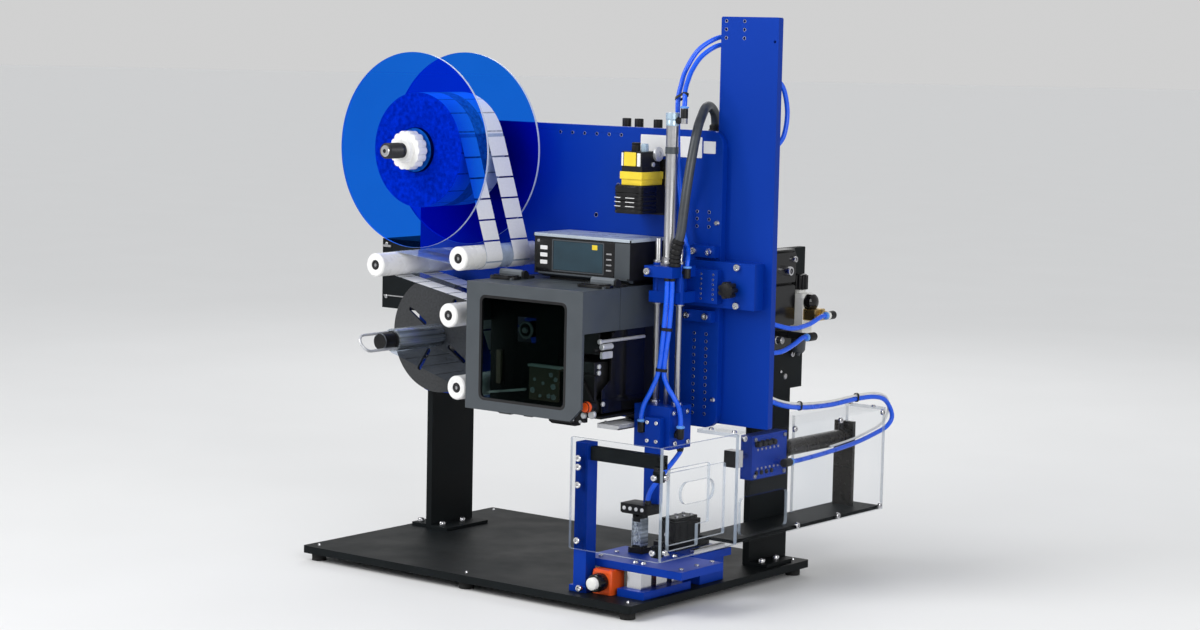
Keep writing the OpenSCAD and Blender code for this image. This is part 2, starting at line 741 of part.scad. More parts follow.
module control_boxes() color(black) place() {
  case_back(box_x, box_right, plate_t, box_back, box_z, box_z + box_h);
  case_back(side_x, left_leg_x, plate_t + 4, plate_t + 4 + side_d, side_z, side_z + side_h);
  for (x = [box_x + 38, box_x + 64, box_x + 104]) {
    bar_z(x, plate_t + 62, box_z + box_h, box_z + box_h + 5, 9);
    bar_z(x, plate_t + 62, box_z + box_h + 5, box_z + box_h + 19, 7.5);
  }
}

module rewind_motor() color(dark) place() difference() {
  union() {
    upright(plate_t, 10) translate([rewind_x, rewind_z]) panel(-32, 32, -32, 32, 6);
    bar_y(rewind_x, rewind_z, plate_t + 10, plate_t + 78, 29);
    bar_y(rewind_x, rewind_z, plate_t + 78, plate_t + 92, 24);
  }
  bar_y(rewind_x, rewind_z, plate_t - 1, plate_t + 22, rewind_shaft_r + run_fit);
}

module pin_at(s) {
  bar_y(s[0], s[1], -roller_standoff + air_gap, 0, 11);
  bar_y(s[0], s[1], roller_y0 + 1, 0, pin_r);
  bar_y(s[0], s[1], roller_y0 + recess_l - air_gap - 2, roller_y0 + recess_l - air_gap, 9);
}

module roller_shafts() color(steel) place() {
  for (s = roller_spots) pin_at(s);
  difference() {
    union() {
      bar_y(reel_x, reel_z, -8, 0, bearing_r);
      bar_y(reel_x, reel_z, -reel_standoff + 4, -8, 26);
    }
    bar_y(reel_x, reel_z, -reel_standoff, 1, shaft_r + run_fit);
  }
  difference() {
    union() {
      bar_y(rewind_x, rewind_z, -6, 0, 32);
      bar_y(rewind_x, rewind_z, -rewind_standoff + 1, -6, 20);
    }
    bar_y(rewind_x, rewind_z, -rewind_standoff, 1, rewind_shaft_r + run_fit);
  }
}

module printer_cover() color(grey) place() {
  block(engine_x0, engine_x1, -cover_d, 0, engine_z1 - skin_t, engine_z1);
  for (x = [engine_x0, engine_x1 - skin_t])
    block(x, x + skin_t, -cover_d, 0, engine_z1 - apron_h, engine_z1 - skin_t);
  for (x = hinge_spots) {
    block(x - 7, x + 7, hinge_y + 1.5, hinge_y + 20, engine_z1, engine_z1 + 3);
    bar_x(hinge_y, hinge_z, x - 7, x + 7, hinge_r);
    bar_x(hinge_y, hinge_z, x - hinge_half, x + hinge_half, hinge_pin_r);
  }
}

module printer_door() color(grey) place() difference() {
  union() {
    upright(door_y0, front_t) difference() {
      polygon([[engine_x0, engine_z0], [engine_x1 - corner_cut, engine_z0],
        [engine_x1, engine_z0 + corner_cut], [engine_x1, engine_z1], [engine_x0, engine_z1]]);
      panel(engine_x0 + win_left, engine_x1 - win_right, engine_z0 + win_low, engine_z1 - win_high, 8);
    }
    block(engine_x0, engine_x1, door_y0 + front_t, door_y1, engine_z1 - skin_t, engine_z1);
    for (x = [engine_x0, engine_x1 - skin_t])
      block(x, x + skin_t, door_y0 + front_t, door_y1, engine_z1 - apron_h, engine_z1 - skin_t);
    for (x = hinge_spots) {
      block(x - hinge_half, x + hinge_half, hinge_y - 39, hinge_y - 6.75, engine_z1, engine_z1 + 3);
      for (e = [x - hinge_half, x + 7 + air_gap]) {
        block(e, e + hinge_half - 7 - air_gap, hinge_y - 6.75, hinge_y - 1.75, engine_z1, engine_z1 + 3);
        bar_x(hinge_y, hinge_z, e, e + hinge_half - 7 - air_gap, hinge_r);
      }
    }
  }
  for (x = hinge_spots)
    bar_x(hinge_y, hinge_z, x - hinge_half - 1, x + hinge_half + 1, hinge_pin_r + run_fit);
}

module door_window() color(dark) place()
  upright(door_y0 + front_t, 3) panel(engine_x0 + win_left - 6, engine_x1 - win_right + 6,
    engine_z0 + win_low - 6, engine_z1 - win_high + 6, 8);

module printer_chassis() color(dark) place() {
  difference() {
    block(engine_x0 + 6, engine_x1 - 7, core_y1, 0, engine_z0 + 2, engine_z1 - skin_t - 2);
    bar_y(platen_x, platen_z, core_y1 - 1, core_y1 + 10, 4 + run_fit);
    bar_y(spindle_x, spindle_z, core_y1 - 1, core_y1 + 12, 5 + run_fit);
  }
  block(engine_x0 + 6, platen_x - 8, front_y0, core_y1, engine_z0 + 2, engine_z0 + 8);
  difference() {
    upright(front_y0, 6) panel(engine_x0 + 121, engine_x1 - 9, engine_z0 + 2, engine_z0 + 72, 3);
    bar_y(platen_x, platen_z, front_y0 - 1, front_y0 + 7, 4 + run_fit);
    bar_y(latch_x, latch_z, front_y0 - 1, front_y0 + 7, 3 + run_fit);
  }
  block(engine_x1 - 9, engine_x1 - 5, -cover_d - 14, core_y1, engine_z0 + 52, engine_z0 + 138);
  block(platen_x - 8, engine_x1 - 2, web_y - 4, core_y1, engine_z0, engine_z0 + 4);
  block(platen_x - 8, platen_x + 12, core_y1 - 14, core_y1, engine_z0 - 13, engine_z0);
  block(platen_x - 11, engine_x1 + 8.4, web_y + 30, core_y1, engine_z0 - 20, engine_z0 - 13);
  bar_y(bar_guide_x, bar_guide_z, core_y0, core_y1, bar_guide_r);
  bar_y(engine_x1 - 12, engine_z0 + 112, front_y0, -cover_d - 14, 3);
}

module print_head() color(steel) place()
  upright(core_y0, core_y1 - core_y0) polygon([[platen_x - 65, web_z + 20], [platen_x - 22, web_z + 3],
    [platen_x + 4, web_z + 3], [platen_x + 8, web_z + 12], [platen_x + 8, web_z + 60],
    [platen_x - 65, web_z + 60]]);

module platen_roller() color(dark) place() {
  bar_y(platen_x, platen_z, core_y0 + 1, core_y1 - 1, platen_r);
  bar_y(platen_x, platen_z, front_y0 + 0.5, core_y1 + 9, 4);
}

module ribbon_spindle() color(dark) place() {
  upright(core_y0, core_y1 - core_y0 - 2) translate([spindle_x, spindle_z]) lobes(spindle_r, 6, 3);
  bar_y(spindle_x, spindle_z, core_y1 - 2, core_y1 + 11, 5);
}

module latch_lever() color(orange) place() {
  y1 = front_y0 - 1;
  bar_y(latch_x, latch_z, y1 - 6, y1, 8);
  bar_y(latch_x, latch_z, y1, front_y0 + 6, 3);
  upright(y1 - 6, 6) polygon([[latch_x - 6, latch_z - 4], [latch_x + 17, latch_z - 36],
    [latch_x + 27, latch_z - 30], [latch_x + 6, latch_z + 4]]);
  bar_y(latch_x + 22, latch_z - 32, y1 - 22, y1, 9);
}

module hmi_housing() color(dark) place() {
  block(panel_x0 + 18, panel_x1 - 17, panel_y0 + 20, panel_y1 - 1, engine_z1, panel_z0);
  difference() {
    block(panel_x0, panel_x1, panel_y0, panel_y1, panel_z0, panel_z0 + panel_h - 5);
    upright(panel_y0 - 1, 3)
      panel(panel_x0 + 36, panel_x0 + 147, panel_z0 + 9, panel_z0 + panel_h - 9, 3);
  }
  block(panel_x0 - 1.5, panel_x1 + 1.5, panel_y0 - 1.5, panel_y1, panel_z0 + panel_h - 5, panel_z0 + panel_h);
}

module arm_plate() color(blue) place() difference() {
  union() {
    block(arm_x0, arm_x1, -arm_t, 0, arm_z0, arm_z1);
    block(plate_right + 3, arm_x1, 0, plate_t, arm_z0, arm_z1);
    block(arm_x0, arm_x0 + 83, -2 * arm_t, -arm_t, slide_z0, slide_z1);
    block(arm_x0 + 17, arm_x0 + 67, -arm_t, 0, arm_z1 + 5, arm_z1 + 24);
    block(arm_x0 + 6, arm_x0 + 63, -arm_t, 0, arm_z0 - 26, arm_z0 - 7);
  }
  bar_y(star_x, star_z, -arm_t - 1, plate_t + 1, star_stud_r + run_fit);
  for (x = [arm_x0 + 50, arm_x0 + 74], i = [0 : 5])
    bar_y(x, slide_z0 + 7 + i * 8, -2 * arm_t - 1, -arm_t - 4, slide_hole_r);
}

module star_knob() color(dark) place() {
  upright(-arm_t - 23, 17) translate([star_x, star_z]) lobes(knob_r, 7, 4);
  bar_y(star_x, star_z, -arm_t - 6, -arm_t - air_gap, 7);
  bar_y(star_x, star_z, -arm_t - air_gap, plate_t - 2, star_stud_r);
}

module crosshead() color(blue) place() difference() {
  union() {
    block(tamp_x - head_half, tamp_x + head_half, head_y0, head_y1, head_z1 - 18, head_z1);
    block(tamp_x - head_half, tamp_x + head_half, tamp_y - 16, head_y1, head_z0, head_z0 + 18);
    block(tamp_x - 11, tamp_x + 11, tamp_y - 14, head_y1, head_z0 + 18, head_z1 - 18);
    for (s = [-1, 1]) bar_z(tamp_x + s * guide_spread, tamp_y, head_z0 - 3, head_z1 + 4, bush_r);
    bar_x(port_a[1], port_a[2] - 7, tamp_x + head_half, port_a[0], 4);
    bar_z(port_a[0], port_a[1], port_a[2] - 13, port_a[2], 5.5);
  }
  bar_z(tamp_x, tamp_y, head_z0 - 1, head_z1 + 1, rod_r + run_fit);
  for (s = [-1, 1])
    bar_z(tamp_x + s * guide_spread, tamp_y, head_z0 - 4, head_z1 + 5, guide_r + run_fit);
}

module tamp_cylinder() color(steel) place() difference() {
  union() {
    bar_z(tamp_x, tamp_y, head_z1, head_z1 + 8, tube_r + 2);
    bar_z(tamp_x, tamp_y, head_z1 + 8, tube_z1, tube_r);
    bar_z(tamp_x, tamp_y, tube_z1 - 10, tube_z1, tube_r + 1);
    bar_x(tamp_y, port_b[2] - 20, tamp_x, port_b[0], 4);
    bar_z(port_b[0], port_b[1], port_b[2] - 25, port_b[2], 5.5);
  }
  bar_z(tamp_x, tamp_y, head_z1 - 1, head_z1 + 8, rod_r + run_fit);
  bar_z(tamp_x, tamp_y, head_z1 + 7, tube_z1 - 6, bore_r);
}

module tamp_rods() color(steel) place() {
  bar_z(tamp_x, tamp_y, tamp_z1, head_z1 + 12, rod_r);
  bar_z(tamp_x, tamp_y, head_z1 + 10, head_z1 + 22, bore_r - run_fit);
  for (s = [-1, 1]) bar_z(tamp_x + s * guide_spread, tamp_y, tamp_z1, head_z1 + 43, guide_r);
}

module tamp_block() color(blue) place() {
  block(tamp_x0, tamp_x1, tamp_y0, tamp_y1, tamp_z0, tamp_z1);
  block(tamp_x - 11, tamp_x + 19, stem_y0, tamp_y0, stem_z0, tamp_z1 - 18);
  for (s = [-1, 1]) difference() {
    bar_z(tamp_x + s * guide_spread, tamp_y, tamp_z1, tamp_z1 + 6, 9);
    bar_z(tamp_x + s * guide_spread, tamp_y, tamp_z1 - 1, tamp_z1 + 7, guide_r + run_fit);
  }
  bar_y(left_elbow[0], left_elbow[2] - 12, left_elbow[1], tamp_y0, 5);
  bar_z(left_elbow[0], left_elbow[1], left_elbow[2] - 16, left_elbow[2], 5);
  bar_x(right_elbow[1], right_elbow[2] - 12, tamp_x1, right_elbow[0], 5);
  bar_z(right_elbow[0], right_elbow[1], right_elbow[2] - 16, right_elbow[2], 5);
}

module tamp_pad() color(dark) place()
  block(tamp_x - 37, tamp_x + 17, stem_y0 - 27, tamp_y0, pad_z0, stem_z0);

module scanner() color(dark) place() {
  x = plate_right - 139;
  z = plate_bottom + scanner_up;
  block(x - 28, x + 28, -8, 0, z - 4, z + 88);
  difference() {
    flat(z, 46) union() {
      panel(x - 28, x + 28, -75, -20, 14);
      translate([x - 28, -40]) square([56, 32]);
    }
    for (i = [0 : 2]) block(x - 29, x + 29, -76, -72, z + 9 + i * 11, z + 12 + i * 11);
  }
  block(x - 16, x + 24, -66, -8, z + 46, z + 62);
  block(x - 18, x + 26, -68, -8, z + 62, z + 68);
  block(x - 16, x + 24, -66, -16, z + 68, z + 101);
  for (e = [x - 6, x + 12]) bar_z(e, -42, z + 101, z + 112, 6);
}

module guard_front() color(clear) place()
  upright(guard_y0, panel_t) panel(guard_x0, guard_right, guard_z0, guard_z1, 3);

module guard_side() color(clear) place() {
  sideways(inner_x1, panel_t) difference() {
    panel(inner_y0, tunnel_y0 - air_gap, guard_z0, guard_z1, 1);
    panel(-205, -97, guard_z0 + 49, guard_z0 + 145, 3);
    panel(-205, -127, guard_z0 + 15, guard_z0 + 60, 3);
  }
  sideways(inner_x1 - panel_t, panel_t) difference() {
    panel(-198, -45, guard_z0 + 22, guard_z0 + 138, 3);
    panel(-165, -75, guard_z0 + 82, guard_z0 + 118, 17.9);
  }
}

module guard_tunnel() color(clear) place() {
  sideways(inner_x1, panel_t) difference() {
    panel(tunnel_y0, tunnel_y1, guard_z0, guard_z1, 1);
    panel(hand_y0, hand_y0 + hand_l, hand_z0, hand_z0 + hand_h, 10);
  }
  block(leg_face, inner_x1, tunnel_y0, tunnel_y1, guard_z1 - panel_t, guard_z1);
  block(tunnel_x0, tunnel_x0 + panel_t, box_back + leg_d + 6, tunnel_y1, guard_z0 + panel_t, guard_z1 - panel_t);
}

module guard_rails() color(black) place() {
  block(leg_face, inner_x1, tunnel_y0, tunnel_y1, guard_z0, guard_z0 + panel_t);
  block(post_x1, inner_x1, inner_y0 + 6, inner_y0 + 20, guard_z1 - 36, guard_z1 - 14);
  for (z = [guard_z0 + 6, guard_z1 - 56])
    block(inner_x1 - 14, inner_x1, inner_y0, inner_y0 + 14, z, z + 18);
}

module guard_post() color(blue) place() {
  block(post_x0, post_x1, inner_y0, inner_y0 + post_w, base_top + 10, guard_z1 - 8);
  block(post_x0 - 8, post_x1 + 2, inner_y0 - 1, inner_y0 + post_w, base_top, base_top + 10);
}

module fixture_plates() color(blue) place() {
  block(base_x0, base_x1, bar_y0 - 8, bar_y1 + 6, base_top, fix_z1);
  block(bar_x0, bar_x0 + bar_w, bar_y0, bar_y1, bar_z0, bar_z1);
  block(rear_x0, rear_x1, rear_y0, rear_y1, bar_z0, bar_z1);
  block(rear_x0 + 10, rear_x1 - 8, rear_y0 + 30, rear_y1 - 10, base_top, bar_z0);
}

module fixture_spacers() color(steel) place()
  for (y = spacer_ys)
    block(spacer_x - spacer_w / 2, spacer_x + spacer_w / 2, y - spacer_w / 2, y + spacer_w / 2, fix_z1, bar_z0);

module nest() color(dark) place() {
  slide_unit();
  difference() {
    union() {
      block(nest_x - 14, nest_x + 14, nest_y - 13, nest_y + 13, bar_z1, bar_z1 + 9);
      block(nest_x - 9, nest_x + 9, nest_y - 9, nest_y + 9, bar_z1 + 9, bar_z1 + nest_h);
    }
    bar_y(nest_x, bar_z1 + nest_h + 2, nest_y - 10, nest_y + 10, 6);
  }
}

module slide_unit() {
  block(rear_x0 + 10, rear_x0 + 56, rear_y0 + 8, rear_y1 - 4, bar_z1, bar_z1 + 12);
  block(rear_x0 + 16, rear_x0 + 50, rear_y0 + 14, rear_y1 - 22, bar_z1 + 12, bar_z1 + slide_h);
}

module start_box() color(orange) place()
  flat(base_top, start_w) panel(start_x0, start_x0 + start_w, start_y0, start_y0 + start_w, 4);

module start_barrel() color(dark) place() difference() {
  bar_y(start_x, start_z, start_y0 - barrel_l, start_y0, barrel_r);
  bar_y(start_x, start_z, start_y0 - barrel_l - 1, start_y0 - 3, start_r + run_fit);
}

module start_button() color(white) place()
  bar_y(start_x, start_z, button_y0, start_y0 - 3 - start_travel - 2, start_r);

module valve_block() color(dark) place() {
  block(leg_face, valve_x1 - 8, valve_y0, valve_y1, valve_z0, valve_z1);
  for (i = [0 : 4])
    block(valve_x1 - 8, valve_x1, valve_y0 + 5, valve_y1 - 5, valve_z0 + 44 + i * 24, valve_z0 + 63 + i * 24);
  bar_x(valve_y1 - 8, valve_hose_z, valve_x1 - 8, valve_hose_x, elbow_r - 1);
  bar_y(valve_hose_x, valve_hose_z, valve_y1 - 17, valve_y1 + 3, elbow_r);
}

module regulator_body() color(white) place() difference() {
  union() {
    block(leg_face, reg_x1, reg_y - 15, reg_y + 15, reg_z0, reg_z1);
    bar_z(leg_face + 16.6, reg_y, reg_z1, reg_z1 + 6, 10);
    bar_x(reg_y, reg_z0 + 54, reg_x1, reg_x1 + 12, 13);
    bar_x(reg_y + 8, reg_hose_z, reg_x1, reg_hose_x, elbow_r - 1);
    bar_y(reg_hose_x, reg_hose_z, reg_y + 1, reg_y + 22, elbow_r);
  }
  bar_z(leg_face + 16.6, reg_y, reg_z1 - 6, reg_z1 + 7, 4 + run_fit);
}

module regulator_knob() color(dark) place() {
  flat(reg_z1 + 6 + air_gap, 24) translate([leg_face + 16.6, reg_y]) lobes(14, 12, 2.5);
  bar_z(leg_face + 16.6, reg_y, reg_z1 - 5, reg_z1 + 7, 4);
}

module manifold_block() color(blue) place() difference() {
  union() {
    block(shuttle_x - manifold_half, shuttle_x + manifold_half, manifold_y0, manifold_y1,
      shuttle_z - 40, shuttle_z + 34);
    block(leg_face, shuttle_x - manifold_half, box_back + 5, manifold_y1, shuttle_z - 22, shuttle_z + 18);
    bar_x(158, guard_z1 - 70, shuttle_x + manifold_half, 366, 5);
    bar_y(366, guard_z1 - 70, 152, 172, 6);
  }
  bar_y(shuttle_x, shuttle_z, manifold_y0 - 1, manifold_y1 + 1, shuttle_rod_r + run_fit);
}

module shuttle_cylinder() color(steel) place() difference() {
  union() {
    bar_y(shuttle_x, shuttle_z, manifold_y1, manifold_y1 + shuttle_l, shuttle_r);
    for (y = [manifold_y1, manifold_y1 + shuttle_l - 14])
      bar_y(shuttle_x, shuttle_z, y, y + 14, shuttle_r + 1.5);
    block(tunnel_x0 + panel_t, shuttle_x + 20, manifold_y1 + shuttle_l, manifold_y1 + shuttle_l + 8,
      guard_z0 + panel_t, shuttle_z + 28);
  }
  bar_y(shuttle_x, shuttle_z, manifold_y1 - 1, manifold_y1 + 8, shuttle_rod_r + run_fit);
  bar_y(shuttle_x, shuttle_z, manifold_y1 + 7, manifold_y1 + shuttle_l - 6, piston_r);
}

module shuttle_rod() color(steel) place() {
  bar_y(shuttle_x, shuttle_z, pusher_y0 + 18, manifold_y1 + 80, shuttle_rod_r);
  bar_y(shuttle_x, shuttle_z, manifold_y1 + 78, manifold_y1 + 94, piston_r - run_fit);
  block(shuttle_x - 12, shuttle_x + 12, pusher_y0, pusher_y0 + 20, shuttle_z - 14, shuttle_z + 14);
}

module supply_hoses() color(blue) place() {
  tube(supply_a, hose_r);
  tube(supply_b, hose_r);
}

module conduit() color(dark) place() tube(conduit_path, conduit_r);

module drop_hoses() color(blue) place() {
  tube(drop_a, hose_r);
  tube(drop_b, hose_r);
  tube(pad_path, hose_r);
}

module air_hoses() color(blue) place() {
  tube(reg_path, hose_r);
  tube(valve_path, hose_r);
  tube(loop_path, hose_r);
  tube(tower_loop, hose_r);
}

module label_web() color(white) place() {
  upright(web_y, web_w) polygon(concat(side_of(web_line, web_t / 2), flip(side_of(web_line, -web_t / 2))));
  upright(liner_y, web_w) polygon(concat(side_of(liner_line, web_t / 2), flip(side_of(liner_line, -web_t / 2))));
}

module reel_shaft() color(steel) place() {
  bar_y(reel_x, reel_z, shaft_tip_y, plate_t - 0.5, shaft_r);
  bar_y(reel_x, reel_z, -reel_standoff, -reel_standoff + 3, 35);
  bar_y(reel_x, reel_z, disc2_y + disc_t, disc1_y, hub_r);
}

module reel_discs() color(clear) place()
  for (y = [disc1_y, disc2_y]) upright(y, disc_t) translate([reel_x, reel_z]) difference() {
    circle(reel_r, $fn = 96);
    circle(shaft_r + run_fit);
  }

module label_roll() color(white) place()
  upright(web_y, web_w) translate([reel_x, reel_z]) difference() {
    circle(roll_r, $fn = 96);
    circle(hub_r + run_fit);
  }

module reel_nut() color(white) place() {
  upright(disc2_y - air_gap - nut_l, nut_l) translate([reel_x, reel_z]) difference() {
    lobes(nut_r, 14, 8);
    circle(shaft_r + run_fit);
  }
  upright(disc2_y - air_gap - nut_l - 8, 8) translate([reel_x, reel_z]) difference() {
    circle(20);
    circle(shaft_r + run_fit);
  }
}

module clip_pair(y0, y1, r) for (s = [-1, 1])
  bar_y(rewind_x + s * clip_radius * sin(clip_tilt), rewind_z + s * clip_radius * cos(clip_tilt), y0, y1, r);

module rewind_disc() color(grey) place()
  upright(mandrel_y1, rewind_t) translate([rewind_x, rewind_z]) difference() {
    circle(rewind_r, $fn = 96);
    circle(rewind_shaft_r + run_fit);
    for (a = [57 : 90 : 327]) rotate(a) panel(31, 78, -4, 4, 3.9);
  }

module mandrel() color(steel) place() difference() {
  union() {
    bar_y(rewind_x, rewind_z, mandrel_y0, mandrel_y1, mandrel_r);
    bar_y(rewind_x, rewind_z, mandrel_y1, plate_t + 20, rewind_shaft_r);
    bar_y(rewind_x, rewind_z, mandrel_y0 - plug_l, mandrel_y0, mandrel_r - 5.5);
  }
  clip_pair(mandrel_y0 - plug_l - 1, mandrel_y1 - 14, wire_r + air_gap);
}

function clip_point(s, y) =
  [rewind_x + s * clip_radius * sin(clip_tilt), y, rewind_z + s * clip_radius * cos(clip_tilt)];
clip_path = concat(
  [clip_point(1, mandrel_y1 - 15)],
  [for (a = [0 : 20 : 180]) clip_point(cos(a), clip_y - clip_radius * sin(a))],
  [clip_point(-1, mandrel_y1 - 15)]
);

module mandrel_clip() color(steel) place() tube(clip_path, wire_r, 12);

module roller(s) translate([s[0], roller_y1, s[1]]) rotate([90, 0, 0]) rotate_extrude()
  polygon([[pin_r + run_fit, 0], [roller_r - 2, 0], [roller_r, 2], [roller_r, roller_l - 2],
    [roller_r - 2, roller_l], [recess_r, roller_l], [recess_r, roller_l - recess_l],
    [pin_r + run_fit, roller_l - recess_l]]);

module roller_1() color(white) place() roller(roller_spots[0]);
module roller_2() color(white) place() roller(roller_spots[1]);
module roller_3() color(white) place() roller(roller_spots[2]);
module roller_4() color(white) place() roller(roller_spots[3]);

module button_screws() color(steel) place() {
  for (p = foot_spots) screw_up(p[0], p[1], base_top, foot_screw_r);
  for (y = [plate_t + 18, plate_t + 72]) screw_up(left_leg_x + leg_t + 10, y, base_top + angle_t);
  for (y = [box_back + 12, box_back + 54]) screw_up(leg_face + angle_w / 2, y, base_top + angle_t);
  for (x = [9, 29]) screw_up(left_leg_x - x, plate_t + 20, base_top + angle_t);
  for (z = [arm_z0 + 6, arm_z1 - 7]) screw_front(star_x + 9, -arm_t, z);
  for (x = [arm_x0 + 26, arm_x0 + 57]) screw_front(x, -arm_t, arm_z1 + 14.5);
  for (x = [arm_x0 + 16, arm_x0 + 53]) screw_front(x, -arm_t, arm_z0 - 16.5);
  screw_front(tamp_x - 20, head_y0, head_z1 - 9);
  for (x = [guard_x0 + 18.5, guard_right - 12], z = [guard_z0 + 15, guard_z1 - 47]) screw_front(x, guard_y0, z);
  for (z = [guard_z1 - 76, guard_z1 - 33]) screw_front(guard_x0 + 18.5, guard_y0, z);
  for (z = [guard_z0 + 15, guard_z1 - 47]) screw_right(guard_right, inner_y0 + 7, z);
  for (y = [tunnel_y0 + 12, tunnel_y0 + 160, tunnel_y0 + 300, tunnel_y1 - 12])
    screw_right(guard_right, y, guard_z1 - panel_t / 2 - 5);
  for (y = [tunnel_y0 + 175, tunnel_y0 + 300, tunnel_y1 - 12]) screw_right(guard_right, y, guard_z0 + 8);
  for (x = [leg_face + 20, inner_x1 - 12], y = [tunnel_y0 + 12, tunnel_y1 - 12]) screw_up(x, y, guard_z1);
  for (x = [spacer_x - 8, spacer_x + 8], y = [bar_y0 + 15, bar_y0 + 99]) screw_up(x, y, bar_z1);
  for (z = [tower_z + 40, tower_z + 330]) screw_front(plate_right - 9, 0, z);
  for (z = [plate_bottom + 60, plate_bottom + 250]) screw_front(left_leg_x + leg_t / 2, 0, z);
}

base_plate();
base_feet();
button_screws();
left_leg();
right_leg();
faceplate();
tower_plate();
control_boxes();
rewind_motor();
roller_shafts();
printer_cover();
printer_chassis();
print_head();
hmi_housing();
arm_plate();
crosshead();
tamp_cylinder();
scanner();
guard_front();
guard_side();
guard_tunnel();
guard_rails();
guard_post();
fixture_plates();
fixture_spacers();
nest();
start_box();
start_barrel();
valve_block();
regulator_body();
manifold_block();
shuttle_cylinder();
supply_hoses();
conduit();
drop_hoses();
air_hoses();
label_web();
reel_shaft();
reel_discs();
label_roll();
reel_nut();
rewind_disc();
mandrel();
mandrel_clip();
roller_1();
roller_2();
roller_3();
roller_4();
printer_door();
door_window();
platen_roller();
ribbon_spindle();
latch_lever();
tamp_rods();
tamp_block();
tamp_pad();
star_knob();
start_button();
regulator_knob();
shuttle_rod();
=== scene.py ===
import json
import math
import bmesh
import bpy
from mathutils import Matrix, Vector
from mathutils.geometry import interpolate_bezier


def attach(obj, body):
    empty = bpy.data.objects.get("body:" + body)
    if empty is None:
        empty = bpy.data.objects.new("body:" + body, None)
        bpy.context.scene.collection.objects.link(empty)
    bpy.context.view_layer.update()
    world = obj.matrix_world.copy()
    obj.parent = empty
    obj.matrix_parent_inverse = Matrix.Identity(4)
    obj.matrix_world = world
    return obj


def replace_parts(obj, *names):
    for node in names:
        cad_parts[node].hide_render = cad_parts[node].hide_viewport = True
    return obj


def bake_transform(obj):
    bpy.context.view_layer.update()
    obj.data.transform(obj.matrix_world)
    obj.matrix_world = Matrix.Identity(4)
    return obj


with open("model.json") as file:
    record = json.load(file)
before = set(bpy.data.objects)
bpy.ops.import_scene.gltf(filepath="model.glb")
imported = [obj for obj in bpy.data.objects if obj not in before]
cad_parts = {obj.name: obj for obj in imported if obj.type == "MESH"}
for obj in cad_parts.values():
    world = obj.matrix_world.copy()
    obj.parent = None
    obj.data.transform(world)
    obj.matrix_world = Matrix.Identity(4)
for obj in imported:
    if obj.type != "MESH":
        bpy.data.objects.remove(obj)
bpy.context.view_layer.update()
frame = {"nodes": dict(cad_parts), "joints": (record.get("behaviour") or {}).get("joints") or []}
NODE = frame["nodes"]
SCENE = bpy.context.scene

# The script works in the machine's millimetres: X right, Y back from the faceplate's front, Z up.
# The part's origin lies this far behind the faceplate's front.
FACE_Y = 110


def at(x, y, z):
    """A point of the machine in millimetres, as a point of the part's frame in metres."""
    return Vector((x / 1000, (y - FACE_Y) / 1000, z / 1000))


def joint_at(name):
    """A joint's place in the machine's millimetres."""
    x, y, z = next(j["pos_m"] for j in frame["joints"] if j["name"] == name)
    return round(x * 1000, 3), round(y * 1000 + FACE_Y, 3), round(z * 1000, 3)


REEL_X, _, REEL_Z = joint_at("reel_spin")
REWIND_X, _, REWIND_Z = joint_at("rewind_spin")
ROLLERS = [joint_at(f"roller_{i}_spin") for i in (1, 2, 3, 4)]
_, HINGE_Y, HINGE_Z = joint_at("door_hinge")
RIBBON_X, _, RIBBON_Z = joint_at("ribbon_spin")
TAMP_X, TAMP_Y, TAMP_Z = joint_at("tamp_slide")
STAR_X, _, STAR_Z = joint_at("star_knob_turn")
BUTTON_X, _, BUTTON_Z = joint_at("start_press")
REGULATOR_X, REGULATOR_Y, _ = joint_at("regulator_turn")
SHUTTLE_X, _, SHUTTLE_Z = joint_at("shuttle_slide")


def new_object(name, data):
    obj = bpy.data.objects.new(name, data)
    SCENE.collection.objects.link(obj)
    return obj


# Yaw, pitch and roll in degrees, and place in metres, fitted to the photograph
CAMERA_TURN = (37.719, 6.190, 1.2143)
CAMERA_PLACE = (2.7983, -3.6158, 0.9249)
CAMERA_LENS = 79.302


def make_camera():
    yaw, pitch, roll = (math.radians(a) for a in CAMERA_TURN)
    level = Matrix.Rotation(yaw, 4, "Z") @ Matrix.Rotation(math.pi / 2 - pitch, 4, "X")
    data = bpy.data.cameras.new("camera")
    data.sensor_width, data.lens = 36, CAMERA_LENS
    data.clip_start, data.clip_end = 0.05, 50
    camera = new_object("camera", data)
    camera.matrix_world = Matrix.Translation(CAMERA_PLACE) @ level @ Matrix.Rotation(roll, 4, "Z")
    SCENE.camera = camera


make_camera()
SCENE.view_settings.view_transform = "Standard"


# Shapes

AXIS = {"x": Vector((1, 0, 0)), "y": Vector((0, 1, 0)), "z": Vector((0, 0, 1)),
        "-x": Vector((-1, 0, 0)), "-y": Vector((0, -1, 0)), "slant": Vector((1, 0, 1)).normalized()}
# Turns a point of an outline and a distance along the axis into a point of the machine
PUT = {"x": lambda u, v, t: (t, u, v), "y": lambda u, v, t: (u, t, v), "z": lambda u, v, t: (u, v, t)}
LEAST_R = 0.02


def circle(n, shift=0.0):
    return [2 * math.pi * (k + shift) / n for k in range(n)]


def around(u, v, r, angle):
    return u + r * math.cos(angle), v + r * math.sin(angle)


def strip_faces(rows, n, closed=False):
    """Four-sided faces between rows of n points each."""
    return [(i * n + k, i * n + (k + 1) % n, (i + 1) % rows * n + (k + 1) % n, (i + 1) % rows * n + k)
            for i in range(rows if closed else rows - 1) for k in range(n)]


def end_faces(rows, n):
    return [list(range(n)), list(range((rows - 1) * n, rows * n))]


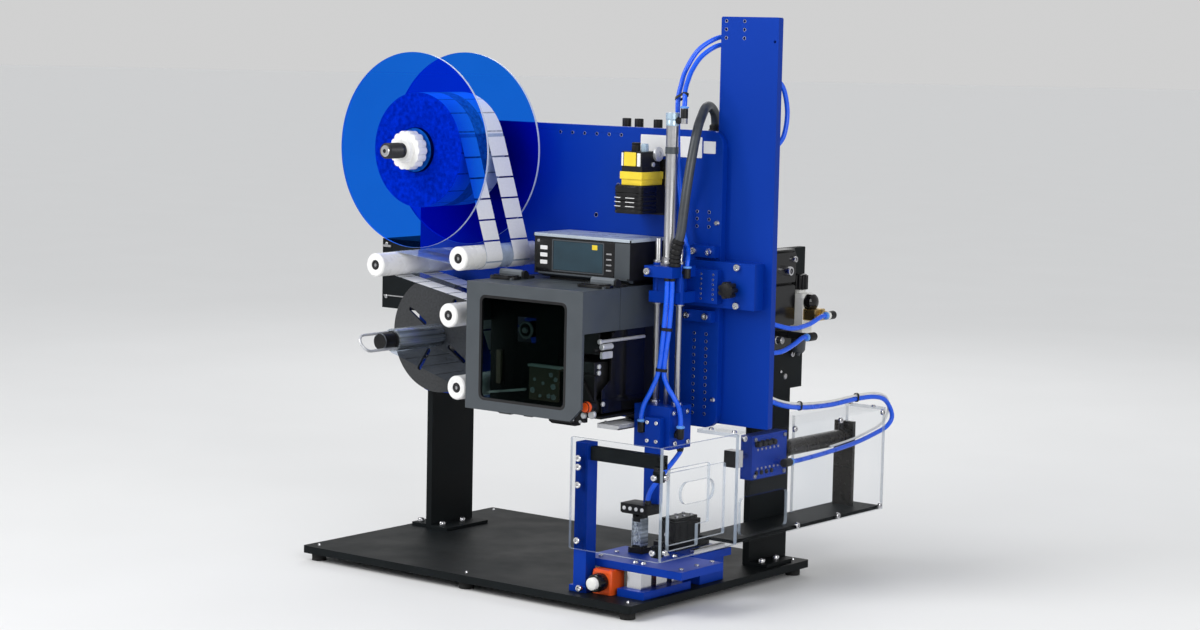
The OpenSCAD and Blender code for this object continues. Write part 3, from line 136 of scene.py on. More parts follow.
class Shape:
    """A mesh gathered from simple solids, in the machine's millimetres."""

    def __init__(self):
        self.points, self.faces = [], []

    def add(self, points, faces):
        k = len(self.points)
        self.points += [Vector(p) for p in points]
        self.faces += [[k + i for i in f] for f in faces]
        return self

    def box(self, x0, x1, y0, y1, z0, z1):
        return self.prism([(x0, y0), (x1, y0), (x1, y1), (x0, y1)], "z", z0, z1)

    def prism(self, outline, axis, a, b):
        points = [PUT[axis](u, v, t) for t in (a, b) for u, v in outline]
        n = len(outline)
        return self.add(points, end_faces(2, n) + strip_faces(2, n))

    def slab(self, a0, a1, b0, b1, r, axis, a, b):
        """A plate with round corners."""
        return self.prism(rounded(a0, a1, b0, b1, r), axis, a, b)

    def frame_of(self, outer, inner, axis, a, b):
        """A flat ring between two outlines with the same number of points."""
        rows = ((outer, a), (inner, a), (inner, b), (outer, b))
        points = [PUT[axis](u, v, t) for line, t in rows for u, v in line]
        return self.add(points, strip_faces(4, len(outer), True))

    def lathe(self, base, axis, profile, n=24, ring=False):
        """Turned solid: the profile lists distance along the axis and radius."""
        w = AXIS[axis]
        u = w.orthogonal().normalized()
        v = w.cross(u)
        points = [Vector(base) + t * w + max(r, LEAST_R) * (math.cos(a) * u + math.sin(a) * v)
                  for t, r in profile for a in circle(n)]
        rows = len(profile)
        return self.add(points, strip_faces(rows, n, ring) + ([] if ring else end_faces(rows, n)))

    def ring(self, base, axis, inner, outer, length, n):
        return self.lathe(base, axis, [(0, inner), (0, outer), (length, outer), (length, inner)], n, True)

    def stud(self, base, axis, r, side, top_r, height, n=24):
        """A round or many-sided head with a bevelled top edge: size of its side, then of its top."""
        return self.lathe(base, axis, [(0, r), (side, r), (height, top_r)], n)

    def screw(self, base, axis, r, height):
        """Cap screw head with a sunk socket."""
        return self.lathe(base, axis, [(0, r), (height * 0.82, r), (height, r * 0.88), (height, r * 0.55),
                                       (height * 0.45, r * 0.5)])

    def tube(self, route, r, n):
        """Round tube along a route; r is one radius, or one for each point."""
        m = len(route)
        heads = [(route[min(i + 1, m - 1)] - route[max(i - 1, 0)]).normalized() for i in range(m)]
        u = heads[0].orthogonal().normalized()
        points = []
        for i in range(m):
            u = (u - heads[i] * u.dot(heads[i])).normalized()
            v = heads[i].cross(u)
            size = r[i] if isinstance(r, list) else r
            points += [route[i] + size * (math.cos(a) * u + math.sin(a) * v) for a in circle(n)]
        return self.add(points, strip_faces(m, n) + end_faces(m, n))

    def strap(self, a, b, way, r, width):
        """A flat band round two round hoses whose centres are a and b, square to the direction way."""
        a, b, way = Vector(a), Vector(b), Vector(way).normalized()
        side = (b - a - way * (b - a).dot(way)).normalized()
        up = way.cross(side)
        half = (b - a).dot(side) / 2
        n = 24
        points = []
        low, high = r + 0.1, r + 1.3
        for size, t in ((low, -width / 2), (low, width / 2), (high, width / 2), (high, -width / 2)):
            for c in circle(n, 0.5):
                out = math.cos(c) * size + math.copysign(half, math.cos(c))
                points.append((a + b) / 2 + way * t + side * out + up * math.sin(c) * size)
        return self.add(points, strip_faces(4, n, True))


def rounded(a0, a1, b0, b1, r, n=6):
    """Outline of a rectangle with round corners, in n steps each."""
    line = []
    for k, (a, b) in enumerate(((a1 - r, b1 - r), (a0 + r, b1 - r), (a0 + r, b0 + r), (a1 - r, b0 + r))):
        line += [around(a, b, r, math.pi / 2 * (k + i / n)) for i in range(n + 1)]
    return line


def flowing(points, steps=12):
    """A smooth line through the points."""
    p = [Vector(q) for q in points]
    p = [2 * p[0] - p[1]] + p + [2 * p[-1] - p[-2]]
    line = []
    for a, b, c, d in zip(p, p[1:], p[2:], p[3:]):
        line += interpolate_bezier(b, b + (c - a) / 6, c - (d - b) / 6, c, steps + 1)[:-1]
    return line + [p[-2]]


# Materials

# The part of a noise's range that is used, and the depths of grain and of rings in metres
CLOUD = (0.3, 0.7)
GRAIN_DEPTH = 0.0006
RING_DEPTH = 0.0004


class Net:
    """The shader nodes of a material or a world."""

    def __init__(self, owner):
        owner.use_nodes = True
        self.nodes, self.links = owner.node_tree.nodes, owner.node_tree.links

    def wire(self, made, sockets):
        """Links the sockets that are given an output, and sets the others to a constant value."""
        for key, value in sockets.items():
            if isinstance(value, bpy.types.NodeSocket):
                self.links.new(value, made.inputs[key])
            else:
                made.inputs[key].default_value = value
        return made

    def new(self, kind, sockets=None, out=0, operation=None):
        """Adds a node and gives one of its outputs back."""
        made = self.nodes.new("ShaderNode" + kind)
        if operation:
            made.operation = operation
        return self.wire(made, sockets or {}).outputs[out]

    def math(self, operation, *values, kind="Math", out=0):
        return self.new(kind, dict(enumerate(values)), out, operation)

    def tones(self, colour, vary, source, ends=(0, 1)):
        """A darker and a lighter tone of a colour, picked by the source."""
        ramp = self.nodes.new("ShaderNodeValToRGB")
        for end, position, share in zip(ramp.color_ramp.elements, ends, (1 - vary, 1 + vary)):
            end.position = position
            end.color = [min(1, c * share) for c in colour] + [1]
        return self.wire(ramp, {"Fac": source}).outputs["Color"]


def paint(name, colour, rough, metal, vary, grain, bump, fine=700.0, rough_vary=0.07, stretch=(1, 1, 1),
          **sockets):
    """A surface with cloudy colour and gloss and a fine grain, at real scale."""
    m = bpy.data.materials.new(name)
    net = Net(m)
    place = net.new("TexCoord", out="Object")
    place = net.new("Mapping", {"Scale": stretch, "Vector": place})
    cloud = net.new("TexNoise", {"Scale": grain, "Detail": 6, "Vector": place})
    grit = net.new("TexNoise", {"Scale": fine, "Vector": place})
    gloss = net.new("MapRange", {
        "Value": cloud, "From Min": CLOUD[0], "From Max": CLOUD[1],
        "To Min": max(0.02, rough - rough_vary), "To Max": min(1, rough + rough_vary)})
    relief = net.new("Bump", {"Strength": bump, "Distance": GRAIN_DEPTH, "Height": grit})
    net.wire(net.nodes["Principled BSDF"], {
        "Metallic": metal, "Base Color": net.tones(colour, vary, cloud, CLOUD), "Roughness": gloss,
        "Normal": relief, **{key.replace("_", " "): value for key, value in sockets.items()}})
    return m


def clear(name, tint, edge, axes, cover, polish, vary=0.04, grain=8.0):
    """Clear sheet: tinted where it faces along the axes, bright on its cut edges, with a light gloss."""
    m = paint(name, edge, 0.2, 0, 0.06, 60, 0.01)
    net = Net(m)
    place = net.nodes["Texture Coordinate"].outputs["Object"]
    cloud = net.new("TexNoise", {"Scale": grain, "Vector": place})
    sheet = net.new("BsdfTransparent", {"Color": net.tones(tint, vary, cloud)})
    shine = net.new("BsdfPrincipled", {"Base Color": (0.9, 0.92, 0.95, 1), "Metallic": 1, "Roughness": 0.05})
    slant = net.new("LayerWeight", {"Blend": 0.5}, out="Facing")
    share = net.math("MULTIPLY", net.math("POWER", slant, 5), polish)
    last = net.new("MixShader", {"Fac": share, 1: sheet, 2: shine})
    if axes:
        normal = net.new("NewGeometry", out="True Normal")
        facing = None
        for axis in axes:
            size = net.math("ABSOLUTE", net.new("SeparateXYZ", {"Vector": normal}, axis.upper()))
            facing = net.math("MAXIMUM", facing, size) if facing else size
        rim = net.new("MapRange", {"Value": facing, "From Min": 0.75, "From Max": 0.95,
                                   "To Min": cover, "To Max": 0})
        body = net.nodes["Principled BSDF"].outputs["BSDF"]
        last = net.new("MixShader", {"Fac": rim, 1: last, 2: body})
    net.wire(net.nodes["Material Output"], {"Surface": last})
    return m


def rings(m, x, z, pitch, depth):
    """Fine rings round an axis along Y, as on the end of a wound roll."""
    net = Net(m)
    place = net.new("TexCoord", out="Object")
    place = net.new("Mapping", {"Location": (-x / 1000, 0, -z / 1000), "Vector": place})
    flat = net.math("MULTIPLY", place, (1, 0, 1), kind="VectorMath")
    size = net.math("LENGTH", flat, kind="VectorMath", out="Value")
    wave = net.math("SINE", net.math("MULTIPLY", size, 2 * math.pi * 1000 / pitch))
    relief = net.new("Bump", {"Strength": depth, "Distance": RING_DEPTH, "Height": wave})
    net.wire(net.nodes["Principled BSDF"], {"Normal": relief})
    return m


# Colour, roughness, metal, spread of tone, scale of its clouds, depth and scale of the grain, spread of gloss
BLUE = paint("blue_anodised", (0.0012, 0.037, 0.34), 0.38, 0.3, 0.06, 6, 0.02, 1500, 0.04, (1, 1, 0.5),
             IOR=1.22)
BLACK = paint("black_anodised", (0.007, 0.009, 0.010), 0.52, 0, 0.25, 14, 0.05, 1200, IOR=1.18)
MATT = paint("black_plastic", (0.010, 0.010, 0.011), 0.42, 0, 0.2, 60, 0.06, 900, IOR=1.3)
GLOSS = paint("gloss_black", (0.006, 0.006, 0.007), 0.16, 0, 0.2, 30, 0.01, Specular_IOR_Level=0.35)
RUBBER = paint("rubber", (0.018, 0.018, 0.018), 0.75, 0, 0.2, 120, 0.15, 1500, Specular_IOR_Level=0.2)
STEEL = paint("brushed_steel", (0.42, 0.42, 0.43), 0.34, 1, 0.06, 200, 0.012, 2500, 0.04)
CHROME = paint("polished_steel", (0.58, 0.58, 0.6), 0.16, 1, 0.05, 200, 0.004, 2500, 0.03)
TURNED = paint("turned_steel", (0.34, 0.38, 0.43), 0.24, 0.7, 0.6, 260, 0, 2500, 0.02, (1, 0.012, 1))
ALLOY = paint("bead_alloy", (0.4, 0.4, 0.41), 0.44, 1, 0.08, 200, 0.03, 2500)
DARKSTEEL = paint("dark_steel", (0.045, 0.045, 0.048), 0.36, 0.8, 0.15, 120, 0.02, 1800)
BRONZE = paint("dark_bronze", (0.03, 0.026, 0.022), 0.3, 0.8, 0.12, 120, 0.01, 1800)
OLIVE = paint("olive_cover", (0.2, 0.145, 0.1), 0.34, 0.2, 0.12, 120, 0.01, 1800)
SILVER = paint("satin_silver", (0.62, 0.63, 0.65), 0.34, 0.45, 0.06, 120, 0.01, 1800)
HINGE = paint("hinge_grey", (0.13, 0.147, 0.165), 0.32, 0, 0.08, 60, 0.03, 1300)
LID = paint("pale_lid", (0.42, 0.48, 0.54), 0.3, 0, 0.05, 30, 0.03, 1300)
SLATE = paint("slate_shell", (0.05, 0.06, 0.07), 0.36, 0, 0.06, 30, 0.06, 1300)
WHITE = paint("white_roller", (0.84, 0.835, 0.82), 0.28, 0, 0.03, 50, 0.01)
CREAM = paint("cream_body", (0.72, 0.72, 0.69), 0.4, 0, 0.06, 60, 0.03)
PAPER = paint("label_face", (0.88, 0.885, 0.9), 0.38, 0, 0.03, 300, 0.02)
WOUND = rings(paint("wound_film", (0.46, 0.46, 0.48), 0.5, 0, 0.35, 150, 0), REEL_X, REEL_Z, 1.1, 0.3)
ORANGE = paint("orange_plastic", (0.82, 0.1, 0.012), 0.36, 0, 0.08, 60, 0.04)
YELLOW = paint("yellow_plastic", (0.85, 0.63, 0.03), 0.35, 0, 0.06, 60, 0.03)
HOSE = paint("blue_hose", (0.004, 0.1, 0.78), 0.3, 0, 0.05, 60, 0)
COLLAR = paint("release_collar", (0.12, 0.33, 0.8), 0.35, 0, 0.06, 60, 0)
SLEEVE = paint("grey_sleeve", (0.035, 0.041, 0.049), 0.36, 0, 0.15, 40, 0.03, 800, stretch=(1, 1, 3))
BRASS = paint("brass", (0.5, 0.36, 0.15), 0.3, 1, 0.1, 120, 0.01)
PALE = paint("pale_cap", (0.42, 0.55, 0.66), 0.25, 0.4, 0.05, 60, 0)
SCREEN = paint("screen", (0.012, 0.04, 0.06), 0.12, 0, 0.2, 25, 0)
# Pale plate colour; it also paints the highlights along the top edges of the sensor's fins.
PLATE_AND_FIN_HIGHLIGHT = paint("bare_plate_and_fin_highlight", (0.8, 0.8, 0.8), 0.34, 0, 0.03, 60, 0.01)
DISC = rings(paint("rewind_disc", (0.035, 0.037, 0.04), 0.42, 0.3, 0.3, 260, 0),
             REWIND_X, REWIND_Z, 0.9, 0.05)

# Tint of each face, colour of the cut edges, axes that it faces, cover of the edges, polish
GLASS_TINT, GLASS_EDGE = (0.96, 0.97, 0.985), (0.45, 0.52, 0.6)
GUARD = clear("clear_guard", GLASS_TINT, GLASS_EDGE, "y", 0.5, 0.5)
GUARD_SIDE = clear("clear_side", GLASS_TINT, GLASS_EDGE, "x", 0.5, 0.5)
GUARD_TUNNEL = clear("clear_tunnel", GLASS_TINT, GLASS_EDGE, "xz", 0.5, 0.5)
ACRYLIC = clear("reel_acrylic", (0.1, 0.43, 0.985), (0.6, 0.68, 0.85), "y", 0.85, 0.6)
SMOKE = clear("smoked_window", (0.38, 0.46, 0.45), (0.02, 0.02, 0.022), "y", 0.9, 0.5)
FILM = clear("liner_film", (0.82, 0.86, 0.92), (0.5, 0.55, 0.62), "", 0.5, 0.4, 0.06, 60)


def soften(obj, width):
    edge = obj.modifiers.new("edge", "BEVEL")
    edge.width = width / 1000
    edge.segments = 2
    edge.limit_method = "ANGLE"
    edge.angle_limit = math.radians(40)
    edge.harden_normals = True


def piece(name, shape, material, bevel=0.0, body="frame", smooth=35):
    """Makes an object of a shape: bevel in millimetres, smooth up to an angle in degrees."""
    mesh = bpy.data.meshes.new(name)
    mesh.from_pydata([at(*p) for p in shape.points], [], shape.faces)
    bm = bmesh.new()
    bm.from_mesh(mesh)
    bmesh.ops.recalc_face_normals(bm, faces=bm.faces)
    bm.to_mesh(mesh)
    bm.free()
    mesh.shade_smooth()
    mesh.set_sharp_from_angle(angle=math.radians(smooth))
    mesh.materials.append(material)
    obj = new_object(name, mesh)
    if bevel:
        soften(obj, bevel)
    if body:
        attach(obj, body)
    return obj


def turned(name, material, body, base, axis, n, profile, ring=False, bevel=0.0):
    """A piece that is one turned solid."""
    piece(name, Shape().lathe(base, axis, profile, n, ring), material, bevel, body)


def dress(name, material, bevel):
    obj = NODE[name]
    for slot in obj.material_slots:
        slot.material = material
    if bevel:
        weld = obj.modifiers.new("weld", "WELD")
        weld.merge_threshold = 0.00002
        soften(obj, bevel)


for material, bevel, names in (
        (BLACK, 0.8, "base_plate"), (BLACK, 0.7, "left_leg right_leg"), (BLACK, 0.9, "control_boxes"),
        (BLACK, 0.5, "guard_rails"), (RUBBER, 0.8, "base_feet"), (RUBBER, 0.4, "platen_roller"),
        (BLUE, 0.7, "faceplate tower_plate guard_post fixture_plates manifold_block"),
        (BLUE, 0.6, "arm_plate crosshead tamp_block"), (CHROME, 0, "button_screws"),
        (CHROME, 0.6, "fixture_spacers"), (CHROME, 0.4, "shuttle_rod"), (DARKSTEEL, 0.6, "rewind_motor"),
        (DARKSTEEL, 0.8, "print_head reel_shaft"), (STEEL, 0.4, "roller_shafts tamp_cylinder tamp_rods"),
        (SLATE, 1.4, "printer_cover printer_door"), (MATT, 0.5, "printer_chassis"),
        (MATT, 1.2, "hmi_housing star_knob"), (MATT, 0.9, "scanner valve_block"), (MATT, 0.6, "nest"),
        (MATT, 0.4, "ribbon_spindle"), (MATT, 0.8, "latch_lever regulator_knob"), (MATT, 0.7, "tamp_pad"),
        (GUARD, 0.5, "guard_front"), (GUARD_SIDE, 0.5, "guard_side"), (GUARD_TUNNEL, 0.5, "guard_tunnel"),
        (ORANGE, 1.0, "start_box"), (GLOSS, 0.8, "start_barrel"), (CREAM, 0.9, "regulator_body"),
        (BRONZE, 0.5, "shuttle_cylinder"), (FILM, 0, "label_web"), (ACRYLIC, 0.5, "reel_discs"),
        (WOUND, 0, "label_roll"), (WHITE, 1.0, "reel_nut"), (WHITE, 0.9, "start_button"),
        (WHITE, 0, "roller_1 roller_2 roller_3 roller_4"), (DISC, 0.6, "rewind_disc"),
        (TURNED, 0.5, "mandrel"), (SILVER, 0, "mandrel_clip"), (SMOKE, 0.4, "door_window"),
        (HOSE, 0, "supply_hoses drop_hoses air_hoses"), (SLEEVE, 0, "conduit")):
    for name in names.split():
        dress(name, material, bevel)


# Label web and roll

# Radii of the web's middle on the roll, on a roller and on the guide bar, and the bar's place
WEB_ROLL_R, WEB_ROLLER_R, WEB_BAR_R = 97.65, 20.65, 8.65
GUIDE_BAR = (10, 337.2)
LABEL_L, LABEL_PITCH = 33, 36
LABEL_COLUMNS = ((-159.6, -119), (-90, -46.4))
# Back and face of a label, out from the web's middle and from the roll's axis
ON_WEB, ON_ROLL = (0.31, 0.47), (96.9, 97.16)
ROLL_LABELS = 17


def web_route():
    """Points of the web's middle line and its direction there, tangent to roll, rollers and bar."""
    first, second, third = ((x, z) for x, _, z in ROLLERS[:3])
    stops = [(REEL_X, REEL_Z, -WEB_ROLL_R), (*second, -WEB_ROLLER_R), (*first, WEB_ROLLER_R),
             (*third, -WEB_ROLLER_R), (*GUIDE_BAR, WEB_BAR_R)]
    turns = []
    for a, b in zip(stops, stops[1:]):
        dx, dz = b[0] - a[0], b[1] - a[1]
        turns.append(math.atan2(dz, dx) - math.asin((b[2] - a[2]) / math.hypot(dx, dz)))
    turns.append(0)

    def on(s, t):
        return Vector((s[0] + s[2] * math.sin(t), s[1] - s[2] * math.cos(t))), t

    line = [on(stops[0], turns[0])]
    for stop, a, b in zip(stops[1:], turns, turns[1:]):
        sweep = (b - a + math.pi) % (2 * math.pi) - math.pi
        line += [on(stop, a + sweep * k / 16) for k in range(17)]
    return line


def add_label(shape, curve, y0, y1):
    """A thin bent label: the curve lists the points (X, Z) of its back and of its face."""
    points = [(p[0], y, p[1]) for back, face in curve
              for p, y in ((back, y0), (back, y1), (face, y1), (face, y0))]
    shape.add(points, strip_faces(len(curve), 4) + end_faces(len(curve), 4))


def add_labels():
    line = web_route()
    far = [0.0]
    for (p, _), (q, _) in zip(line, line[1:]):
        far.append(far[-1] + (q - p).length)

    def spot(s, out):
        """The point at a length along the web, that far out of its middle."""
        i = max(k for k in range(len(far) - 1) if far[k] <= s)
        f = (s - far[i]) / max(far[i + 1] - far[i], 1e-6)
        t = line[i][1] + (line[i + 1][1] - line[i][1]) * f
        return line[i][0].lerp(line[i + 1][0], f) + out * Vector((-math.sin(t), math.cos(t)))

    web, roll = Shape(), Shape()
    start = 6.0
    while start + LABEL_L < far[-1] - 12:
        curve = [[spot(start + LABEL_L * k / 8, out) for out in ON_WEB] for k in range(9)]
        for y0, y1 in LABEL_COLUMNS:
            add_label(web, curve, y0, y1)
        start += LABEL_PITCH
    for i in range(ROLL_LABELS):
        angles = [2 * math.pi / ROLL_LABELS * (i + 0.92 * k / 8) for k in range(9)]
        curve = [[around(REEL_X, REEL_Z, r, a) for r in ON_ROLL] for a in angles]
        for y0, y1 in LABEL_COLUMNS:
            add_label(roll, curve, y0, y1)
    piece("web_labels", web, PAPER)
    piece("roll_labels", roll, PAPER, body="reel")


# Reel and rewind

def add_reel():
    x, z = REEL_X, REEL_Z
    profile = [(0, 9.5), (1.5, 12.2)]
    for i in range(13):
        profile += [(2.5 + i * 2.4, 13.3), (3.7 + i * 2.4, 12.3)]
    turned("reel_thread", DARKSTEEL, "reel", (x, -240.6, z), "y", 36, profile + [(36, 12.5)])
    turned("reel_tip", CHROME, "reel", (x, -242.4, z), "y", 36,
           [(0, 3.4), (0, 8.6), (1.2, 9.6), (4, 9.8), (4, 5), (1.6, 3.8)], True)
    core = Shape()
    for y in (-161.2, -48):
        core.ring((x, y, z), "y", 37.9, 44, 3, 48)
    piece("roll_core_ends", core, WOUND, 0.4, "reel")
    turned("reel_hub_face", WOUND, "reel", (x, -167.6, z), "y", 48,
           [(0, 14), (0, 36.8), (0.8, 37.5), (5, 37.5), (5, 14)], True)
    turned("reel_hub_caps", MATT, "reel", (x, -38.6, z), "y", 48,
           [(-1, 14), (-3, 30), (0, 34), (0, 14)], True)
    turned("nut_collar", WHITE, "reel_nut", (x, -201.4, z), "y", 40,
           [(0, 13.2), (0, 18.2), (1.8, 20.2), (8.8, 21.6), (8.8, 13.2)], True)
    boss = Shape().lathe((x, -9, z), "y", [(0, 27), (0, 38), (3, 40.5), (5, 40.5), (5, 27)], 48, True)
    for a in circle(4, 0.5):
        u, v = around(x, z, 33, a)
        boss.screw((u, -9, v), "-y", 3, 3)
    piece("reel_bearing_cap", boss, ALLOY, 0.3)


# Angle of the clip's grooves in the plug, and their depth as a radius
CLIP_ANGLE, GROOVE_R = math.radians(125), 12.7
# Where the spent liner leaves its roller, and its direction
LINER_START, LINER_WAY = Vector((-55.5, 306.9)), Vector((-0.9597, 0.2811))


def add_rewind():
    x, z = REWIND_X, REWIND_Z
    plug = Shape()
    for y0, y1, r in ((-183.8, -182.6, 13.6), (-182.7, -156, 14.9), (-156.1, -152, 16.4)):
        outline = []
        for t in circle(72):
            outline.append(around(x, z, GROOVE_R if abs(math.cos(t - CLIP_ANGLE)) > 0.97 else r, t))
        plug.prism(outline, "y", y0, y1)
    for i in range(9):
        plug.lathe((x, -180 + i * 2.6, z), "y", [(0, 12), (0.2, 12.9), (0.8, 12.9), (1, 12)], 36)
    piece("mandrel_plug", plug, MATT, body="rewind")
    marks = Shape()
    for k in range(5):
        p = LINER_START + LINER_WAY * (22 + LABEL_PITCH * k) + Vector((LINER_WAY.y, -LINER_WAY.x)) * 0.45
        q = p + LINER_WAY * 1.1
        marks.prism([p, q, (q.x, q.y + 0.2), (p.x, p.y + 0.2)], "y", -150.8, -37.2)
    piece("liner_marks", marks, MATT)
    motor = Shape()
    for dx, dz in ((-25, -25), (-25, 25), (25, -25), (25, 25)):
        motor.screw((x + dx, 22.7, z + dz), "y", 4, 4)
    for i in range(9):
        motor.lathe((x, 30 + i * 6, z), "y", [(0, 28.9), (0.6, 30), (2.6, 30), (3.2, 28.9)], 40)
    piece("motor_fins", motor, DARKSTEEL)
    box = Shape().box(x - 14, x + 14, 40, 76, z + 26, z + 42)
    box.lathe((x, 76, z + 35), "y", [(0, 6), (8, 6), (9, 5), (16, 5)])
    piece("motor_terminal", box, MATT, 0.8)


def add_rollers():
    bolts, seats = Shape(), Shape()
    profile = [(0, 8.9), (0, 12), (3, 12), (3, 8.4), (0.5, 8.4)]
    for i, (x, _, z) in enumerate(ROLLERS, 1):
        bearing = Shape().ring((x, -208.4, z), "y", 7.4, 8.5, 3, 36)
        piece(f"roller_{i}_bearing", bearing, DARKSTEEL, body=f"roller_{i}")
        turned(f"roller_{i}_face", WHITE, f"roller_{i}", (x, -209.7, z), "y", 40, profile, True)
        bolts.screw((x, -206.2, z), "-y", 5.8, 4)
        seats.ring((x, -206.6, z), "y", 5.2, 8.6, 1.2, 32)
        seats.lathe((x, -12.6, z), "y", [(0, 11), (2, 12), (9, 12), (12.4, 14), (12.6, 14)], 36)
    piece("roller_bolts", bolts, DARKSTEEL)
    piece("roller_seats", seats, DARKSTEEL, 0.25)


# Print engine

COVER_TOP = 508.6
HINGE_FIN = [(-135, 511), (-127.4, 511), (-127.4, 519), (-128.8, 522.8), (-131.4, 523.8), (-135, 520)]
HINGE_END = [(-134, 511), (-121.4, 508.8), (-118, 513), (-121, 520), (-127, 523), (-134, 520)]


def add_door():
    outer, inner = rounded(7.5, 190.5, 314, 488, 11), rounded(12.4, 185.6, 318.9, 483.1, 8)
    piece("window_gasket", Shape().frame_of(outer, inner, "y", -220.4, -215), GLOSS, 0.8, "door")
    pads, leaves, plates, ends = Shape(), Shape(), Shape(), Shape()

    def knuckle(shape, x, length):
        profile = [(0, 4.6), (0.6, 5.4), (length - 0.6, 5.4), (length, 4.6)]
        shape.lathe((x, HINGE_Y, HINGE_Z), "x", profile, 32)

    for x, reach in ((4, 32), (197, 40)):
        pads.slab(x - reach, x + 24, -163, -128.4, 16, "z", COVER_TOP + 0.1, 513.6)
        pads.slab(x - reach + 6, x + 19, -159, -131.6, 12, "z", 513.5, 515.4)
        plates.prism(HINGE_FIN, "x", x - 27, x + 20)
        knuckle(plates, x - 21, 13.6)
        knuckle(plates, x + 7.4, 13.6)
        ends.prism(HINGE_END, "x", x + 20.4, x + 24.4)
        leaves.slab(x - 6.8, x + 21, -115.4, -98, 4, "z", COVER_TOP, 512.4)
        knuckle(leaves, x - 6.6, 13.2)
    piece("hinge_pads", pads, GLOSS, 0.7, "door")
    piece("hinge_plates", plates, HINGE, 0.4, "door")
    piece("hinge_ends", ends, MATT, 0.6, "door")
    piece("hinge_leaves", leaves, MATT, 0.5)


# Front of the print head's cover, and the screws on it
HEAD_FRONT = -177.4
HEAD_SCREWS = ((92, 352), (126, 362), (131, 343), (110, 347), (122, 327), (132, 326), (104, 326), (136, 355),
               (88, 334))


def add_engine_inside():
    wall = Shape()
    for x0, x1, z0, z1 in ((-14, 42, 306, 505), (82, 130, 306, 505), (42, 82, 450, 505), (42, 82, 306, 409),
                           (130, 214, 402, 505)):
        wall.box(x0, x1, -164.6, -163, z0, z1)
    wall.box(-14, 214, -164.8, -162, 500, 505.4)
    piece("engine_wall", wall, MATT, 0.2)
    x, z = RIBBON_X, RIBBON_Z
    cap = Shape()
    cap.lathe((x, -167.6, z), "y", [(0, 11), (0, 13.6), (1.5, 15), (4, 15), (4, 11)], 40, True)
    cap.lathe((x, -166.8, z), "y", [(-5, 2), (-4, 4.4), (0, 6)])
    piece("spindle_cap", cap, ALLOY, 0.3, "ribbon")
    piece("spindle_face", Shape().ring((x, -167.2, z), "y", 6, 11, 3, 40), MATT, body="ribbon")
    cover = Shape().slab(80, 142, 318, 373, 3, "y", HEAD_FRONT, -165)
    cover.slab(2, 12, 336, 392, 2, "y", -169, -164)
    piece("head_cover", cover, OLIVE, 0.5)
    strips = Shape().box(78, 145, -180, -168, 372.6, 376.6)
    strips.prism([(-7, 319), (70, 331), (70, 334.6), (-7, 322.6)], "y", -177, -171)
    piece("head_strips", strips, CREAM, 0.4)
    screws = Shape()
    for i, (x, z) in enumerate(HEAD_SCREWS):
        r = 2.8 + i % 3
        screws.lathe((x, HEAD_FRONT + 0.2, z), "-y", [(0, r), (1.4, r), (2, r - 0.6), (2, 1), (1.2, 0.8)], 20)
    piece("head_screws", screws, SILVER)


def add_engine_side():
    outline = [(-160, 306), (-47, 306), (-47, 440), (-60, 444), (-120, 444), (-136, 430), (-136, 360),
               (-160, 344)]
    piece("engine_panel", Shape().prism(outline, "x", 215.4, 217.4), GLOSS, 0.3)
    rods = Shape()
    rods.lathe((219.6, -168, 424), "y", [(0, 2), (0.8, 2.8), (116, 2.8), (117, 2)], 20)
    rods.lathe((219.4, -166, 415), "y", [(0, 4), (1, 5), (26, 5), (27, 4)])
    rods.slab(-166, -139, 396, 407, 2, "x", 217.2, 222)
    rods.lathe((219, -172, 424), "y", [(0, 3), (1, 4.2), (5, 4.2), (6, 3)], 20)
    for y, z in ((-172, 384), (-172, 374), (-160, 322)):
        rods.stud((219, y, z), "x", 4, 2.6, 3, 3.2, 20)
    piece("engine_rods", rods, SILVER)


def add_engine_underside():
    screws = Shape()
    screws.stud((212, -175, 306), "-y", 7, 4, 6, 5)
    screws.stud((196, -176, 303), "-y", 5, 4, 4, 5)
    for x in (10, 26, 38, 62, 78, 96, 120, 134, 150, 166, 182):
        r = 2.6 + x % 2
        screws.lathe((x, -168.6, 292.5 - x % 3), "-y", [(0, r), (1.6, r), (2.2, 2), (2.2, 1)], 18)
    piece("engine_screws", screws, SILVER)
    low = Shape()
    low.prism([(-166, 297), (-166, 288), (-158, 284), (-60, 284), (-46, 290), (-46, 297)], "x", 2, 26)
    low.prism([(-166, 297), (-166, 286), (-60, 286), (-46, 292), (-46, 297)], "x", 60, 78)
    low.box(-8, 190, -168, -160, 289, 299.4)
    low.prism([(-172, 300), (-172, 286), (-164, 281), (-150, 281), (-150, 297)], "x", 118, 168)
    piece("engine_underside", low, MATT, 0.7)
    outline = [(186.6, 277.1), (225, 277.1), (230.9, 279.6), (230.9, 284.9), (186.6, 284.9)]
    shelf = Shape().prism(outline, "y", -130.4, -45.3)
    for x in (191, 198):
        shelf.box(x, x + 4, -127, -50, 284.7, 286.4)
    for y in (-118, -60):
        shelf.stud((194.8, y, 286.3), "z", 2.6, 1.2, 1.8, 1.8, 18)
    piece("peel_shelf", shelf, SILVER, 0.4)
    piece("peeled_label", Shape().slab(206, 229, -124, -84, 1.5, "z", 284.9, 285.3), PAPER)
    turned("latch_grip", ORANGE, "latch", (212, -198, 319.5), "y", 32,
           [(0, 5.6), (1.2, 8.4), (2.6, 9.2), (8, 9.3), (9, 8.8)])


# Back and front of the marks on the operator panel's glass
MARK_BACK, MARK_FRONT = -98.4, -99.1


